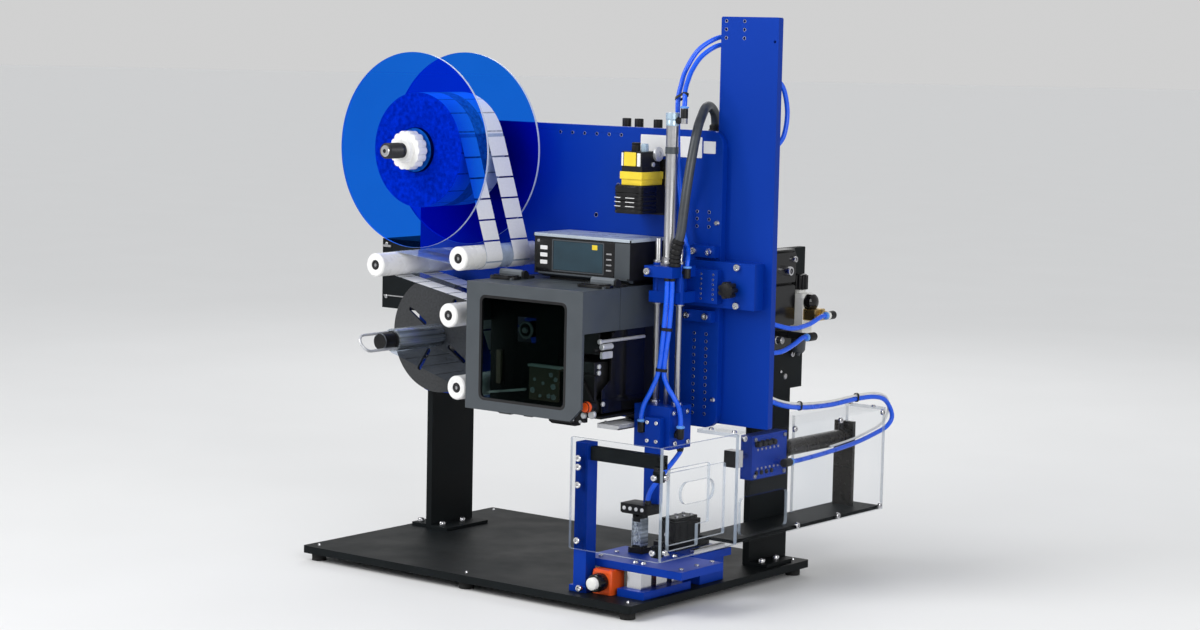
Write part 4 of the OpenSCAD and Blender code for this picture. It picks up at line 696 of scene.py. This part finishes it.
def add_panel():
    glass = Shape().slab(25, 190, 521.5, 577, 3, "y", -98.6, -95.8)
    piece("screen_glass", glass, GLOSS, 0.4)
    piece("screen_view", Shape().slab(63, 166, 526, 573.6, 1, "y", -98.9, MARK_BACK), SCREEN)
    outer, inner = rounded(60, 169, 523.4, 576, 2), rounded(62.2, 166.8, 525.2, 574.2, 1.4)
    piece("screen_bezel", Shape().frame_of(outer, inner, "y", MARK_FRONT, MARK_BACK), SLATE)
    piece("panel_end", Shape().slab(191, 221.6, 520.4, 578, 2, "y", -99, -97.6), SLATE, 0.4)
    piece("panel_lid", Shape().slab(20.2, 223.8, -100, -3.6, 4, "z", 579.4, 585), LID, 1.2)
    keys, small = Shape(), Shape()
    for z in (537, 549, 561):
        keys.slab(35, 50, z - 3.3, z + 3.3, 1, "y", MARK_FRONT, MARK_BACK)
    for z in (531.5, 540.5, 549.5, 558.5):
        small.slab(173.6, 184.4, z - 1.2, z + 1.2, 0.6, "y", MARK_FRONT, MARK_BACK)
    small.slab(28.4, 33.4, 570, 574, 1, "y", MARK_FRONT, MARK_BACK)
    piece("panel_keys", keys, WHITE, 0.2)
    piece("panel_soft_keys", small, ALLOY, 0.2)
    piece("panel_mark", Shape().slab(144, 155, 563.5, 571.5, 1, "y", MARK_FRONT, -98.8), YELLOW)
    outline = [(-98.6, 517.6), (-98.6, 520.4), (-80, 520.4), (-80, 512), (-84, 512)]
    piece("panel_plinth_lip", Shape().prism(outline, "x", 30, 216), SLATE, 0.5)


# Sensor head, bare plates and drilled holes

SENSOR_X, SENSOR_Z = 193, 625
# Corner of the sensor's fins: its centre's distance from the middle, depth and radius
FIN_X, FIN_Y, FIN_R = 14.8, -62.2, 14


def add_sensor():
    x, z = SENSOR_X, SENSOR_Z
    bright = Shape().slab(x - 11, x + 13, z + 77.4, z + 100, 1.5, "y", -68.2, -65.6)
    bright.slab(x - 18.9, x + 26.9, -69, -9, 2, "z", z + 56, z + 68.3)
    bright.slab(x - 16.8, x + 24.8, -66.9, -9, 2, "z", z + 46.2, z + 56.4)
    piece("sensor_yellow", bright, YELLOW, 0.7)
    strips = Shape()
    for a, b in ((x - 16.6, x - 13), (x + 15.4, x + 21.6)):
        strips.slab(a, b, z + 77.4, z + 99, 1, "y", -67.4, -65.6)
    # The three thin white strips bent round the fins' front corner, along the top edges of the fins, are
    # painted highlights where those rounded edges catch the light; the two strips beside the yellow face are
    # real white strips.
    turn = [math.radians(215 + 55 * i / 8) for i in range(9)]
    outer, inner = ([around(x - FIN_X, FIN_Y, r, t) for t in turn] for r in (FIN_R + 0.6, FIN_R - 0.4))
    bent = outer + [(x - 10, -76.8), (x - 10, -75.8)] + inner[::-1]
    for low in (z + 11.2, z + 18.2, z + 25.2):
        strips.prism(bent, "z", low, low + 1.2)
        strips.box(x, x + 18, -76.9, -75.8, low, low + 1.2)
    piece("sensor_strips_and_fin_highlights", strips, PLATE_AND_FIN_HIGHLIGHT, 0.2)
    fins = Shape()
    for k in range(5):
        fins.slab(x - 28.8, x + 28.8, -76.2, -20, FIN_R, "z", z + 1 + k * 7, z + 5.6 + k * 7)
    fins.slab(x - 29, x + 29, -76.4, -20, 14.4, "z", z + 34.4, z + 44)
    for k in range(8):
        fins.stud((x - 15 + k * 4.6, -73.5, z + 43.6), "z", 2.3, 1.6, 1.6, 2.4, 18)
        fins.stud((x + 25.6, -60 + k * 5.4, z + 43.6), "z", 2.6, 1.6, 1.8, 2.4, 18)
    piece("sensor_fins", fins, GLOSS, 0.6)
    cap = Shape().slab(x - 17, x + 25, -67, -15, 2, "z", z + 68.2, z + 76.6)
    profile = [(0, 7.4), (9, 7.4), (10, 6.6), (11.4, 7.4), (13.4, 7.4), (14.4, 6)]
    cap.lathe((x - 6, -42, z + 100.8), "z", profile, 28)
    piece("sensor_cap", cap, MATT, 0.4)
    turned("sensor_stub", PALE, "frame", (x + 12, -42, z + 101), "z", 28,
           [(0, 6.1), (3, 6.4), (10.6, 6.4), (11.6, 5.4), (13, 5.4)])
    pivot = Shape()
    pivot.lathe((x + 24, -24, z + 97), "x", [(0, 12), (4, 12), (5.4, 10.4), (5.4, 5), (3.4, 4.4)], 36)
    pivot.stud((x + 24, -36, z + 80), "x", 4, 2, 3, 2.8)
    piece("sensor_pivot", pivot, SILVER)
    plates = Shape().slab(165, 290, 718, 752, 1.5, "y", -0.9, -0.1)
    plates.slab(293, 317, 726, 746, 1, "y", -0.6, -0.1)
    piece("bare_plates", plates, PLATE_AND_FIN_HIGHLIGHT, 0.25)


# Face, radius, columns and rows of the drilled holes in the faceplate, the tower and the arm
HOLES = ((0, 2.5, (283, 307), [299 + 12 * i for i in range(12)] + [607, 619, 631]),
         (0, 2.5, [-6 + 26 * i for i in range(6)], [749]), (0, 3.5, [120], [665]), (0, 3.5, [74], [613]),
         (12.7, 2.5, (323, 358.5), (941, 927.4, 913.8)),
         (-25.4, 1.5, (312, 336), [492 + 8 * i for i in range(6)]))


def add_hole_rims():
    rims = Shape()
    for y, r, columns, rows in HOLES:
        profile = [(0, r - 0.1), (0, r + 0.45), (0.2, r + 0.3), (0.2, r - 0.1)]
        for x in columns:
            for z in rows:
                rims.lathe((x, y, z), "-y", profile, 16, True)
    piece("hole_rims", rims, ALLOY)


# Tamp

GUIDE_RODS = (TAMP_X - 22, TAMP_X + 22)
# Ends of the hoses: on the crosshead, at the cylinder's top, on the tamp block and under the crosshead
CROSSHEAD_PORT, CYLINDER_PORT = (309, -60, 543), (296, -60, 800)
FRONT_ELBOW, SIDE_ELBOW = (253, -99, 292), (312, -72, 284)
DROP_TOPS = ((288.6, -86, 527), (295.4, -81.4, 527))
ARM_FRONT = -12.7


def add_cylinder():
    x, y = TAMP_X, TAMP_Y
    piece("cylinder_band", Shape().ring((x, y, 726), "z", 10.05, 10.9, 11, 40), SLATE, 0.3)
    caps = Shape().stud((x, y, 545.1), "z", 14.5, 3.4, 13, 4, 6)
    caps.stud((x, y, 553), "z", 12, 5, 10.4, 6, 40)
    piece("cylinder_caps", caps, ALLOY)
    turned("cylinder_top", PALE, "frame", (x, y, 771), "z", 40,
           [(0, 10.1), (0.6, 10.7), (9, 10.7), (9.6, 10.3), (11, 11.3), (20.4, 11.3), (21.4, 10)])
    bushes = Shape()
    for x in GUIDE_RODS:
        bushes.lathe((x, y, 549), "z", [(0, 6.2), (0, 8.4), (3, 8.4), (4, 7.6), (4, 6.2)], 32, True)
        bushes.ring((x, y, 481), "z", 6.2, 8.4, 2, 32)
    piece("guide_bushes", bushes, STEEL)


def add_crosshead():
    fittings, collars = Shape(), Shape()
    for x, y, z in (CROSSHEAD_PORT, CYLINDER_PORT):
        fittings.lathe((x, y, z - 14), "z", [(-3, 4.4), (-2, 6), (12, 6), (13.6, 5.4)])
        collars.lathe((x, y, z - 0.4), "z", [(0, 5.6), (1.2, 7.4), (2.6, 7.4), (4, 5)])
    fittings.lathe((309, -60, 536), "x", [(0, 4.6), (-7.6, 4.6)])
    fittings.lathe((296, -60, 780), "x", [(0, 5), (-9, 5), (-10, 6.4), (-13, 6.4)], 6)
    for top in DROP_TOPS:
        fittings.stud(top, "z", 5, -4, 4.6, -5)
    piece("crosshead_fittings", fittings, MATT, 0.3)
    piece("crosshead_collars", collars, COLLAR)
    screws = Shape().screw((253, -90, 536), "-y", 6, 6)
    for x, z in ((288, 567.5), (319, 567.5), (278, 461.5), (315, 461.5), (376, 484), (376, 546)):
        screws.screw((x, ARM_FRONT, z), "-y", 6, 6)
    piece("arm_screws", screws, CHROME)


def add_tamp():
    elbows, collars = Shape(), Shape()
    for x, y, z in (FRONT_ELBOW, SIDE_ELBOW):
        elbows.lathe((x, y, z - 19), "z", [(0, 4.2), (1.5, 6), (8, 6.2), (16, 6.2), (18, 5.6)], 28)
        collars.lathe((x, y, z - 1.2), "z", [(0, 5.6), (1.2, 7.2), (3.4, 7.2), (5, 4.9)])
    elbows.lathe((253, -99, 280), "y", [(0, 5.6), (6, 5.6), (7, 6.8), (9.6, 6.8)], 6)
    elbows.lathe((312, -72, 272), "x", [(0, 5.6), (-4, 5.6), (-5, 6.8), (-8.6, 6.8)], 6)
    elbows.lathe((298, -52, 248.1), "z", [(0, 6), (-3, 6), (-4, 5.2), (-6, 5.2)])
    elbows.lathe((285, -119, 159.7), "z", [(0, 5.6), (5, 5.6), (6, 4.9), (8, 4.9)])
    piece("tamp_elbows", elbows, MATT, 0.3, "tamp")
    piece("tamp_collars", collars, COLLAR, body="tamp")
    screws = Shape()
    profile = [(0, 6.1), (0, 9.4), (5.2, 9.4), (6.2, 8.4), (6.2, 6.1)]
    for x in GUIDE_RODS:
        screws.lathe((x, TAMP_Y, TAMP_Z), "z", profile, 36, True)
    for x, z in ((268, 292), (286, 292), (268, 262), (286, 262)):
        screws.screw((x, -101, z), "-y", 3.4, 3)
    for y, z in ((-81, 308), (-44, 308), (-78, 258), (-42, 258)):
        screws.screw((303, y, z), "x", 4.6, 4)
    piece("tamp_screws", screws, CHROME, body="tamp")
    face = Shape().slab(236.6, 289.4, -127.4, -90, 3, "z", 143.2, 146)
    piece("pad_face", face, RUBBER, 0.4, "tamp")
    inserts = Shape()
    for x in (244, 256, 268, 280):
        inserts.stud((x, -128, 152), "-y", 3.2, 0.8, 2.4, 1.2, 20)
    piece("pad_inserts", inserts, WHITE, body="tamp")
    x, z = STAR_X, STAR_Z
    turned("star_stud", MATT, "star_knob", (x, -36.6, z), "y", 28, [(0, 4.2), (1.2, 5.4), (4, 5.4)])
    turned("star_dome", MATT, "star_knob", (x, -36.2, z), "y", 36, [(0, 9), (0.8, 11), (3, 13)])


# Hoses: the construction model's routes, in order from end to end

SUPPLY_A = [(335, 25.4, 905), (335, 40, 905), (327, 53, 909), (309, 51, 915), (291, 33, 913), (272, 8, 893),
            (262, -12, 860), (266, -30, 835), (269, -41, 813), (270, -42, 780), (270, -38, 715),
            (268, -29, 670), (266, -21, 641), (269, -19.5, 607), (277, -23, 585), (291, -34, 571),
            (303, -50, 563), (308, -57.5, 556), (309, -60, 549), CROSSHEAD_PORT]
SUPPLY_B = [(335, 25.4, 890), (335, 38, 890), (328, 50, 894), (311, 49, 901), (294, 32, 901), (280, 8, 884),
            (277, -14, 862), (282, -34, 842), (289, -50, 826), (295, -58, 813), (296, -60, 805),
            CYLINDER_PORT]
CONDUIT = [(284, 45, 755), (284, 45, 773), (286, 38, 791), (289, 20, 802), (293.5, 2, 800), (299, -16, 787),
           (305, -36, 765), (310, -57, 717), (309.5, -68, 667), (306, -75, 603), (301, -77, 581),
           (297, -77, 561), (297, -77, 545)]
DROP_A = [DROP_TOPS[0], (288.6, -86, 500), (285.5, -87.6, 444), (277.5, -88, 377), (268, -93, 345),
          (258, -98, 322), (253, -99, 304), FRONT_ELBOW]
DROP_B = [DROP_TOPS[1], (295.4, -81.4, 500), (292.3, -82.4, 444), (284.3, -82.8, 377), (292, -83.5, 352),
          (304, -81, 334), (311, -76, 317), (312, -72, 299), SIDE_ELBOW]
PAD = [(298, -52, 248), (298, -52, 241), (300, -70, 230), (303, -100, 214), (297, -115, 197),
       (289, -119, 181.8), (285, -119, 169.8), (285, -119, 159.8)]
REGULATOR = [(306.7, 80, 457), (325, 80, 457), (350, 89, 452), (368, 115, 442), (377, 150, 435),
             (378, 195, 438), (378, 225, 446), (378, 238, 449), (378, 250, 449)]
VALVE = [(306.7, 60, 406), (322, 60, 406), (345, 69, 402), (361, 95, 397), (369, 130, 397), (370, 165, 406),
         (370, 190, 415), (370, 205, 415)]
LOOP = [(306.7, 90, 330.4), (326, 90, 330.4), (348, 103, 322.4), (360, 140, 306.4), (362, 200, 295.4),
        (362, 290, 290.4), (366, 370, 293.4), (374, 420, 293.4), (379, 450, 283.4), (380, 470, 256.4),
        (377, 460, 238.4), (371, 430, 227.4), (367, 370, 216.4), (366, 280, 209.4), (366, 205, 206.4),
        (366, 172, 206.4)]
THIN = [(306.8, 92, 339), (326, 92, 338), (348, 104, 329.5), (360, 140, 313), (362, 200, 301.8),
        (362, 290, 296.8), (366, 370, 299.8), (374, 421, 300), (377, 456, 288), (374, 464, 260),
        (370, 452, 243), (366, 425, 233.5), (362, 370, 222.8), (361, 300, 217)]
TOWER_LOOP = [(406, 25.4, 848), (406, 40, 848), (409, 56, 832), (412, 63, 796), (411, 57, 760),
              (408, 41, 742), (408, 25.4, 742)]
HOSE_R, SLEEVE_R, THIN_R = 4, 7.8, 2.1
# Hose ends along Y: place and direction
PUSH_ENDS = ((VALVE[-1], "y"), (REGULATOR[-1], "y"), (LOOP[-1], "-y"))


def hoses(*routes):
    shape = Shape()
    for route in routes:
        shape.tube(flowing(route), HOSE_R, 24)
    return shape


def add_hoses():
    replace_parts(piece("supply_hose_pair", hoses(SUPPLY_A, SUPPLY_B), HOSE, smooth=80), "supply_hoses")
    sleeve = Shape().tube(flowing(CONDUIT), SLEEVE_R, 28)
    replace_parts(piece("sleeve_run", sleeve, SLEEVE, smooth=80), "conduit")
    drop = piece("drop_hose_pair", hoses(DROP_A, DROP_B), HOSE, body=None, smooth=80)
    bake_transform(drop)
    piece("pad_hose", hoses(PAD), HOSE, body="tamp", smooth=80)
    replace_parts(drop, "drop_hoses")
    ties = Shape().strap(DROP_A[2], DROP_B[2], (-0.1, 0, -1), HOSE_R, 5)
    ties.strap(DROP_A[3], DROP_B[3], (-0.12, 0, -1), HOSE_R, 5)
    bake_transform(piece("drop_hose_ties", ties, MATT, body=None))
    air = piece("air_hose_runs", hoses(REGULATOR, VALVE, LOOP, TOWER_LOOP), HOSE, smooth=80)
    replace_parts(air, "air_hoses")
    piece("thin_hose", Shape().tube(flowing(THIN), THIN_R, 16), CREAM, smooth=80)
    foot = [q for q in flowing(CONDUIT) if q.z < 590]
    boots = Shape().tube(foot, [9.9 if k % 5 else 8.7 for k in range(len(foot))], 28)
    boots.lathe((284, 45, 755.1), "z", [(0, 12), (8, 12), (9, 10.5), (15, 10.5), (17, 8.4)])
    piece("sleeve_boots", boots, MATT)
    straps = Shape().strap((268.4, -39, 817), (291.5, -53, 819), (0.1, -0.45, -1), HOSE_R, 5)
    straps.strap((362, 200, 295.4), (362, 200, 301), (0, 1, -0.05), HOSE_R, 4)
    straps.strap((366.4, 372, 293.4), (366.4, 372, 299), (0.1, 1, 0), HOSE_R, 4)
    piece("hose_ties", straps, MATT, 0.3)


def add_hose_ends():
    ports, nuts, collars = Shape(), Shape(), Shape()
    for route, axis in ((SUPPLY_A, "y"), (SUPPLY_B, "y"), (TOWER_LOOP, "y"), (TOWER_LOOP[::-1], "y"),
                        (REGULATOR, "x"), (VALVE, "x"), (LOOP, "x")):
        base = Vector(route[0]) + 0.1 * AXIS[axis]
        nuts.stud(base, axis, 7.4, 4, 6.6, 4.6, 6)
        ports.lathe(base, axis, [(4.4, 5.8), (9, 5.8), (10, 5), (12, 5)])
    for base, axis in PUSH_ENDS:
        ports.lathe(base, axis, [(0, 5.4), (2, 6.8), (10, 7.2), (21.4, 7.2), (22, 6.4)], 28)
        collars.lathe(base, axis, [(-4, 5), (-3, 6.6), (0.4, 6.6), (1.4, 5.6)], 28)
    piece("hose_ports", ports, MATT)
    piece("hose_nuts", nuts, BRASS)
    piece("hose_collars", collars, COLLAR)


# Guard, fixture and start button

# Top of the fixture's plate, places of the slide's screws, and outer faces of the guard
FIXTURE_TOP = 78.8
SLIDE_ROWS = (-50, -30, -10)
GUARD_FRONT_Y, GUARD_SIDE_X = -230.2, 391


def add_fixture():
    screws = Shape()
    corners = [(x, y) for y in (-182, -140, -98) for x in (240, 400)]
    for x, y in corners + [(262, -40), (262, 12), (336, -60), (336, 12)]:
        screws.screw((x, y, FIXTURE_TOP), "z", 4, 3)
    for x in (224, 236):
        screws.screw((x, -205, 35.4), "z", 3.2, 2.6)
    piece("fixture_screws", screws, CHROME)
    rails = Shape()
    sides = ((-5, FIXTURE_TOP), (5, FIXTURE_TOP), (4, 82), (5, 86), (-5, 86), (-4, 82))
    for x in (300, 337):
        rails.prism([(x + dx, z) for dx, z in sides], "y", -66, 20)
    piece("slide_rails", rails, CHROME, 0.3)
    slide = Shape().box(268, 296, -58, 4, 124.7, 130)
    slide.box(258.4, 260.2, -60, 18, 82, 92)
    caps = Shape()
    for y in SLIDE_ROWS:
        for x in (264.6, 299.8):
            slide.box(x, x + 1.6, y, y + 10, 95, 120)
        for x in (274, 290):
            caps.screw((x, y + 4, 130), "z", 3, 2.6)
    slide.lathe((283, -62, 104), "y", [(-3, 6), (-1, 7.5), (8, 7.5)], 28)
    caps.lathe((283, -64, 104), "y", [(-2, 3), (0, 3.6), (4, 3.6)], 20)
    piece("slide_details", slide, MATT, 0.6)
    piece("slide_screws", caps, CHROME)
    jaws = Shape()
    for x in (255.6, 272.6):
        jaws.box(x, x + 1.8, -122, -102, 90, 136)
    jaws.box(258, 272, -121.6, -119.8, 92, 130)
    for z in (98, 112, 126):
        jaws.stud((265, -121.8, z), "-y", 3, 1.4, 2.2, 2, 20)
    piece("nest_jaws", jaws, TURNED, 0.4)


def add_guard():
    screws = Shape()
    for x, z in ((229.5, 110.4), (229.5, 200.4), (229.5, 229.4), (229.5, 243.4), (235.6, 33.7)):
        screws.screw((x, GUARD_FRONT_Y, z), "-y", 5.6, 5)
    for z in (110.4, 229.4):
        screws.screw((379, GUARD_FRONT_Y, z), "-y", 4.9, 4)
        screws.screw((GUARD_SIDE_X, -217, z), "x", 4.9, 4)
    for y in (-6, 142, 282, 418):
        screws.screw((GUARD_SIDE_X, y, 268.4), "x", 5.2, 4.6)
    for y in (157, 282, 418):
        screws.screw((GUARD_SIDE_X, y, 103.4), "x", 5, 4.4)
    piece("guard_screws", screws, CHROME)
    brackets = Shape()
    for z in (110, 235):
        brackets.box(372, 384.6, -223.6, -214, z - 9, z + 9)
        brackets.lathe((384, -221, z - 10), "z", [(0, 1.2), (20, 1.2)], 16)
    piece("guard_brackets", brackets, MATT, 0.4)


def add_start():
    x, z = BUTTON_X, BUTTON_Z
    lid = Shape().slab(248, 284, -212.2, -175.8, 4, "z", 63.2, 65)
    for corner in ((252.4, -207.6), (252.4, -180.4), (279.6, -207.6), (279.6, -180.4)):
        lid.stud((*corner, 64.8), "z", 2.4, 0.8, 1.6, 1.2, 18)
    lid.frame_of(rounded(248.6, 283.4, 27, 62, 4), rounded(251, 281, 29.4, 59.6, 3), "y", -213.9, -212.8)
    piece("start_lid", lid, ORANGE, 0.5)
    profile = [(0, 10.6), (0, 12.6), (1.4, 14.2), (4, 14.2), (4, 10.6)]
    ring = Shape().lathe((x, -233.2, z), "y", profile, 40, True)
    for a in circle(20):
        u, v = around(x, z, 14, a)
        ring.box(u - 0.6, u + 0.6, -228, -216, v - 0.6, v + 0.6)
    piece("start_ring", ring, GLOSS)
    turned("start_lens", CREAM, "start_button", (x, -242, z), "y", 36,
           [(0, 4), (0.5, 7.4), (1.6, 9.4), (3, 9.9), (5, 9.9)])


# Air parts on the right leg

LEG_FACE = 306.7
MANIFOLD_FACE = 345


def add_valves():
    covers = Shape()
    for z0, z1 in ((432, 500), (505, 556)):
        covers.slab(152, 220, z0, z1, 4, "x", 331.8, 333.6)
    covers.slab(308, 331, 151, 221, 3, "z", 557.9, 561)
    covers.slab(154, 219, 393, 426, 3, "x", 323, 329)
    piece("valve_covers", covers, GLOSS, 0.6)
    screws = Shape().screw((333.4, 212, 544), "x", 5.4, 6)
    screws.screw((333.4, 189, 526), "x", 8.4, 12)
    screws.screw((LEG_FACE, 252, 377), "x", 5, 5)
    screws.stud((LEG_FACE, 223, 349), "x", 2.6, 1.4, 1.8, 2, 18)
    piece("valve_screws", screws, CHROME)
    turned("valve_plug", ALLOY, "frame", (329, 168, 410), "x", 24, [(0, 7), (6, 7), (7, 6), (16, 6), (17, 5)])


def add_regulator():
    x, y = REGULATOR_X, REGULATOR_Y
    turned("gauge_dome", GLOSS, "frame", (339.6, y, 470), "x", 40,
           [(0, 13.4), (9, 14), (13, 13.6), (16, 11), (18, 7), (18.6, 2)])
    elbow = Shape().slab(236, 268, 439, 459, 3, "x", 340, 364)
    elbow.lathe((363, 257, 449), "x", [(0, 9), (6, 9), (7, 7.6), (16, 7.6)], 6)
    piece("regulator_elbow", elbow, BRASS, 0.7)
    turned("regulator_bowl", SLEEVE, "frame", (x, y, 416.2), "z", 36,
           [(0, 14), (-3, 14), (-6, 13.4), (-30, 12.4), (-35, 9), (-36, 4), (-40, 3.4)], bevel=0.3)
    lips = Shape().slab(306.9, 341, 233, 265, 4, "z", 476, 484.4)
    lips.slab(306.9, 340.6, 233.4, 264.6, 4, "z", 416.2, 424)
    piece("regulator_lips", lips, CREAM, 0.8)
    turned("regulator_ports", BRASS, "frame", (x, 264.2, 446), "y", 6,
           [(0, 9), (3, 9), (4, 8), (9, 8), (10, 6)], bevel=0.3)
    turned("regulator_cap", GLOSS, "regulator_knob", (x, y, 514.2), "z", 36,
           [(0, 11.6), (1.6, 11.2), (2.4, 9.6), (2.6, 4), (1.4, 3)])


def add_shuttle():
    fittings, bolts, valves = Shape(), Shape(), Shape()
    for i in range(4):
        y = 100 + i * 15
        fittings.lathe((MANIFOLD_FACE, y, 242), "x", [(0, 5.6), (3, 5.6), (3.6, 5), (8, 5), (9, 4)])
        fittings.stud((MANIFOLD_FACE, y, 193), "x", 4.4, 2, 3.6, 2.5, 6)
    piece("manifold_fittings", fittings, MATT, 0.3)
    for i in range(6):
        for z in (200, 232):
            bolts.stud((MANIFOLD_FACE - 0.1, 104 + i * 12, z), "x", 2.2, 0.8, 1.6, 1.2, 16)
    for y, z in ((95, 250), (182, 250), (95, 188), (182, 188)):
        bolts.screw((MANIFOLD_FACE, y, z), "x", 3.4, 3)
    across = 15 / math.sqrt(3)
    bolts.stud((SHUTTLE_X, 189.8, SHUTTLE_Z), "-y", across, 0.16, across * 0.86, 0.2, 6)
    piece("manifold_bolts", bolts, STEEL)
    for y in (199, 378):
        valves.lathe((SHUTTLE_X, y, 236), "z", [(0, 5), (6, 5), (7, 4), (11, 4), (12, 3)], 20)
        valves.stud((341, y, 230), "slant", 4, 5, 3, 6, 18)
    piece("shuttle_fittings", valves, MATT)
    pusher = Shape().box(322, MANIFOLD_FACE, 38.4, 40.2, 209, 236)
    pusher.stud((SHUTTLE_X, 60, SHUTTLE_Z), "y", 8, 5, 7, 6, 6)
    piece("pusher_face", pusher, RUBBER, 0.5, "shuttle")


# Control boxes and legs

# Backs of the control box's and the side box's lids, and the side box's front
BOX_BACK, SIDE_BACK, SIDE_FRONT = 142.5, 126.1, 16.6


def add_boxes():
    lids = Shape().slab(46, 300.7, 306, 749, 5, "y", 140.8, BOX_BACK + 0.1)
    lids.slab(-421, -313, 429.5, 536.5, 4, "y", 124.5, SIDE_BACK + 0.1)
    piece("box_lids", lids, BLACK, 0.6)
    screws = Shape()
    profile = [(0, 4.6), (1.6, 4.2), (2.4, 2.8), (2.4, 1.6), (1.4, 1.4)]
    rows = [(x, z) for x in (54, 292) for z in (314, 460, 600, 741)]
    for x, z in rows + [(173, 314), (173, 741)]:
        screws.lathe((x, BOX_BACK, z), "y", profile, 22)
    profile = [(0, 3.8), (1.4, 3.4), (2, 2.2), (2, 1.4), (1.2, 1.2)]
    for x, z in ((-415, 435.5), (-415, 530.5), (-319, 435.5), (-319, 530.5)):
        screws.lathe((x, SIDE_BACK, z), "y", profile, 20)
        screws.lathe((x, SIDE_FRONT, z), "-y", profile, 20)
    piece("box_screws", screws, STEEL)
    vents = Shape()
    for i in range(14):
        for z0, z1 in ((660, 712), (340, 380)):
            vents.slab(90 + i * 12, 95 + i * 12, z0, z1, 2.4, "y", 142.2, 142.9)
    piece("box_vents", vents, GLOSS)
    inlet = Shape().frame_of(rounded(70, 130, 404, 440, 4), rounded(78, 122, 411, 433, 2), "y", 142.4, 145)
    inlet.box(77.6, 122.4, 142.4, 143, 410.6, 433.4)
    for x, z in ((92, 417), (100, 421), (108, 417)):
        inlet.box(x - 1, x + 1, 142.8, 144.4, z, z + 7)
    inlet.frame_of(rounded(70, 130, 446, 478, 4), rounded(84, 116, 451, 473, 2), "y", 142.4, 145)
    inlet.prism([(143.2, 451.4), (146.6, 452.4), (144.2, 462), (143.2, 472.6)], "x", 84.6, 115.4)
    piece("power_inlet", inlet, GLOSS, 0.4)
    sockets = Shape()
    profile = [(0, 12), (3, 12), (4, 10), (8, 10), (8, 7.6), (3, 7.2)]
    for x in (170, 204, 238):
        sockets.lathe((x, BOX_BACK, 424), "y", profile, 32)
    piece("socket_rings", sockets, ALLOY, 0.3)
    glands = Shape()
    for x in (78, 104, 144):
        glands.stud((x, 74.7, 755.1), "z", 9.6, 4, 8, 5)
        glands.lathe((x, 74.7, 760), "z", [(0, 7.7), (13, 7.7), (14.4, 7.2), (14.4, 5), (13.4, 4.6)], 28)
    glands.lathe((-366, 70, 540.3), "z", [(0, 11), (6, 11), (7, 9.6), (16, 9.6), (18, 7), (22, 5)])
    piece("gland_nuts", glands, MATT, 0.3)
    strips = Shape().box(-421, -318, 15.6, 16.9, 436.4, 438.4)
    strips.box(-424, -404, 14.6, 17, 525, 529)
    piece("side_box_strip", strips, ALLOY, 0.3)


def add_legs():
    bolts = Shape()
    low_dome = [(0, 5), (1.8, 4.6), (2.8, 3)]
    for z in (300, 400, 580):
        for y in (30, 108):
            bolts.lathe((-308.7, y, z), "-x", low_dome)
    for z in (80, 340):
        for y in (160, 236):
            bolts.lathe((LEG_FACE, y, z), "x", low_dome)
    for z in (330, 520, 720):
        bolts.lathe((334, 25.3, z), "y", [(0, 5), (3, 4.8), (4, 3.6)])
    piece("leg_bolts", bolts, STEEL)
    screws = Shape()
    for x, y in ((-286, 30.7), (-286, 84.7), (-317.7, 32.7), (-337.7, 32.7), (325.7, 153), (325.7, 195)):
        screws.screw((x, y, 31.4), "z", 6, 6)
    piece("foot_screws", screws, CHROME)


# Floor, light and background, in metres

FLOOR_HALF, FLOOR_Z = 60, -0.0004
LIGHT_STRENGTH, BACKDROP_STRENGTH = 0.5, 0.635
LIGHT_TARGET = Vector((0, -0.1, 0.5))
# Place, size or angle, and power of each lamp
LAMPS = {"sun": ((-1.5, -2.5, 4.0), 0.5, 1.0), "key": ((-1.2, -2.9, 2.0), 1.6, 39),
         "fill": ((2.9, -1.6, 1.5), 1.6, 38), "rear": ((-1.4, 2.4, 2.2), 1.4, 14)}


def add_floor():
    mesh = bpy.data.meshes.new("floor")
    corners = ((-1, -1), (1, -1), (1, 1), (-1, 1))
    mesh.from_pydata([(x * FLOOR_HALF, y * FLOOR_HALF, FLOOR_Z) for x, y in corners], [], [(0, 1, 2, 3)])
    mesh.materials.append(paint("floor", (0.84, 0.84, 0.84), 0.6, 0, 0.01, 3, 0, Specular_IOR_Level=0.1))
    new_object("floor", mesh)


def add_world():
    """Soft light from all round; what the camera, gloss and clear sheets see of it is the backdrop."""
    world = bpy.data.worlds.new("studio")
    SCENE.world = world
    net = Net(world)
    soft = net.wire(net.nodes["Background"], {"Color": (0.96, 0.98, 1, 1), "Strength": LIGHT_STRENGTH})
    pale = net.new("Background", {"Color": (1, 1, 1, 1), "Strength": BACKDROP_STRENGTH})
    path = net.nodes.new("ShaderNodeLightPath").outputs
    seen = net.math("MAXIMUM", path["Is Camera Ray"], path["Is Glossy Ray"])
    seen = net.math("MAXIMUM", seen, path["Is Transmission Ray"])
    pick = net.new("MixShader", {"Fac": seen, 1: soft.outputs[0], 2: pale})
    net.wire(net.nodes["World Output"], {"Surface": pick})


def add_lamps():
    for name, (place, size, power) in LAMPS.items():
        data = bpy.data.lights.new(name, "SUN" if name == "sun" else "AREA")
        data.energy = power
        if name == "sun":
            data.angle = size
        else:
            data.size = size
        light = new_object(name, data)
        light.location = place
        light.rotation_euler = (LIGHT_TARGET - Vector(place)).to_track_quat("-Z", "Y").to_euler()


for add in (add_labels, add_reel, add_rewind, add_rollers, add_door, add_engine_inside, add_engine_side,
            add_engine_underside, add_panel, add_sensor, add_hole_rims, add_cylinder, add_crosshead,
            add_tamp, add_hoses, add_hose_ends, add_fixture, add_guard, add_start, add_valves,
            add_regulator, add_shuttle, add_boxes, add_legs, add_floor, add_world, add_lamps):
    add()
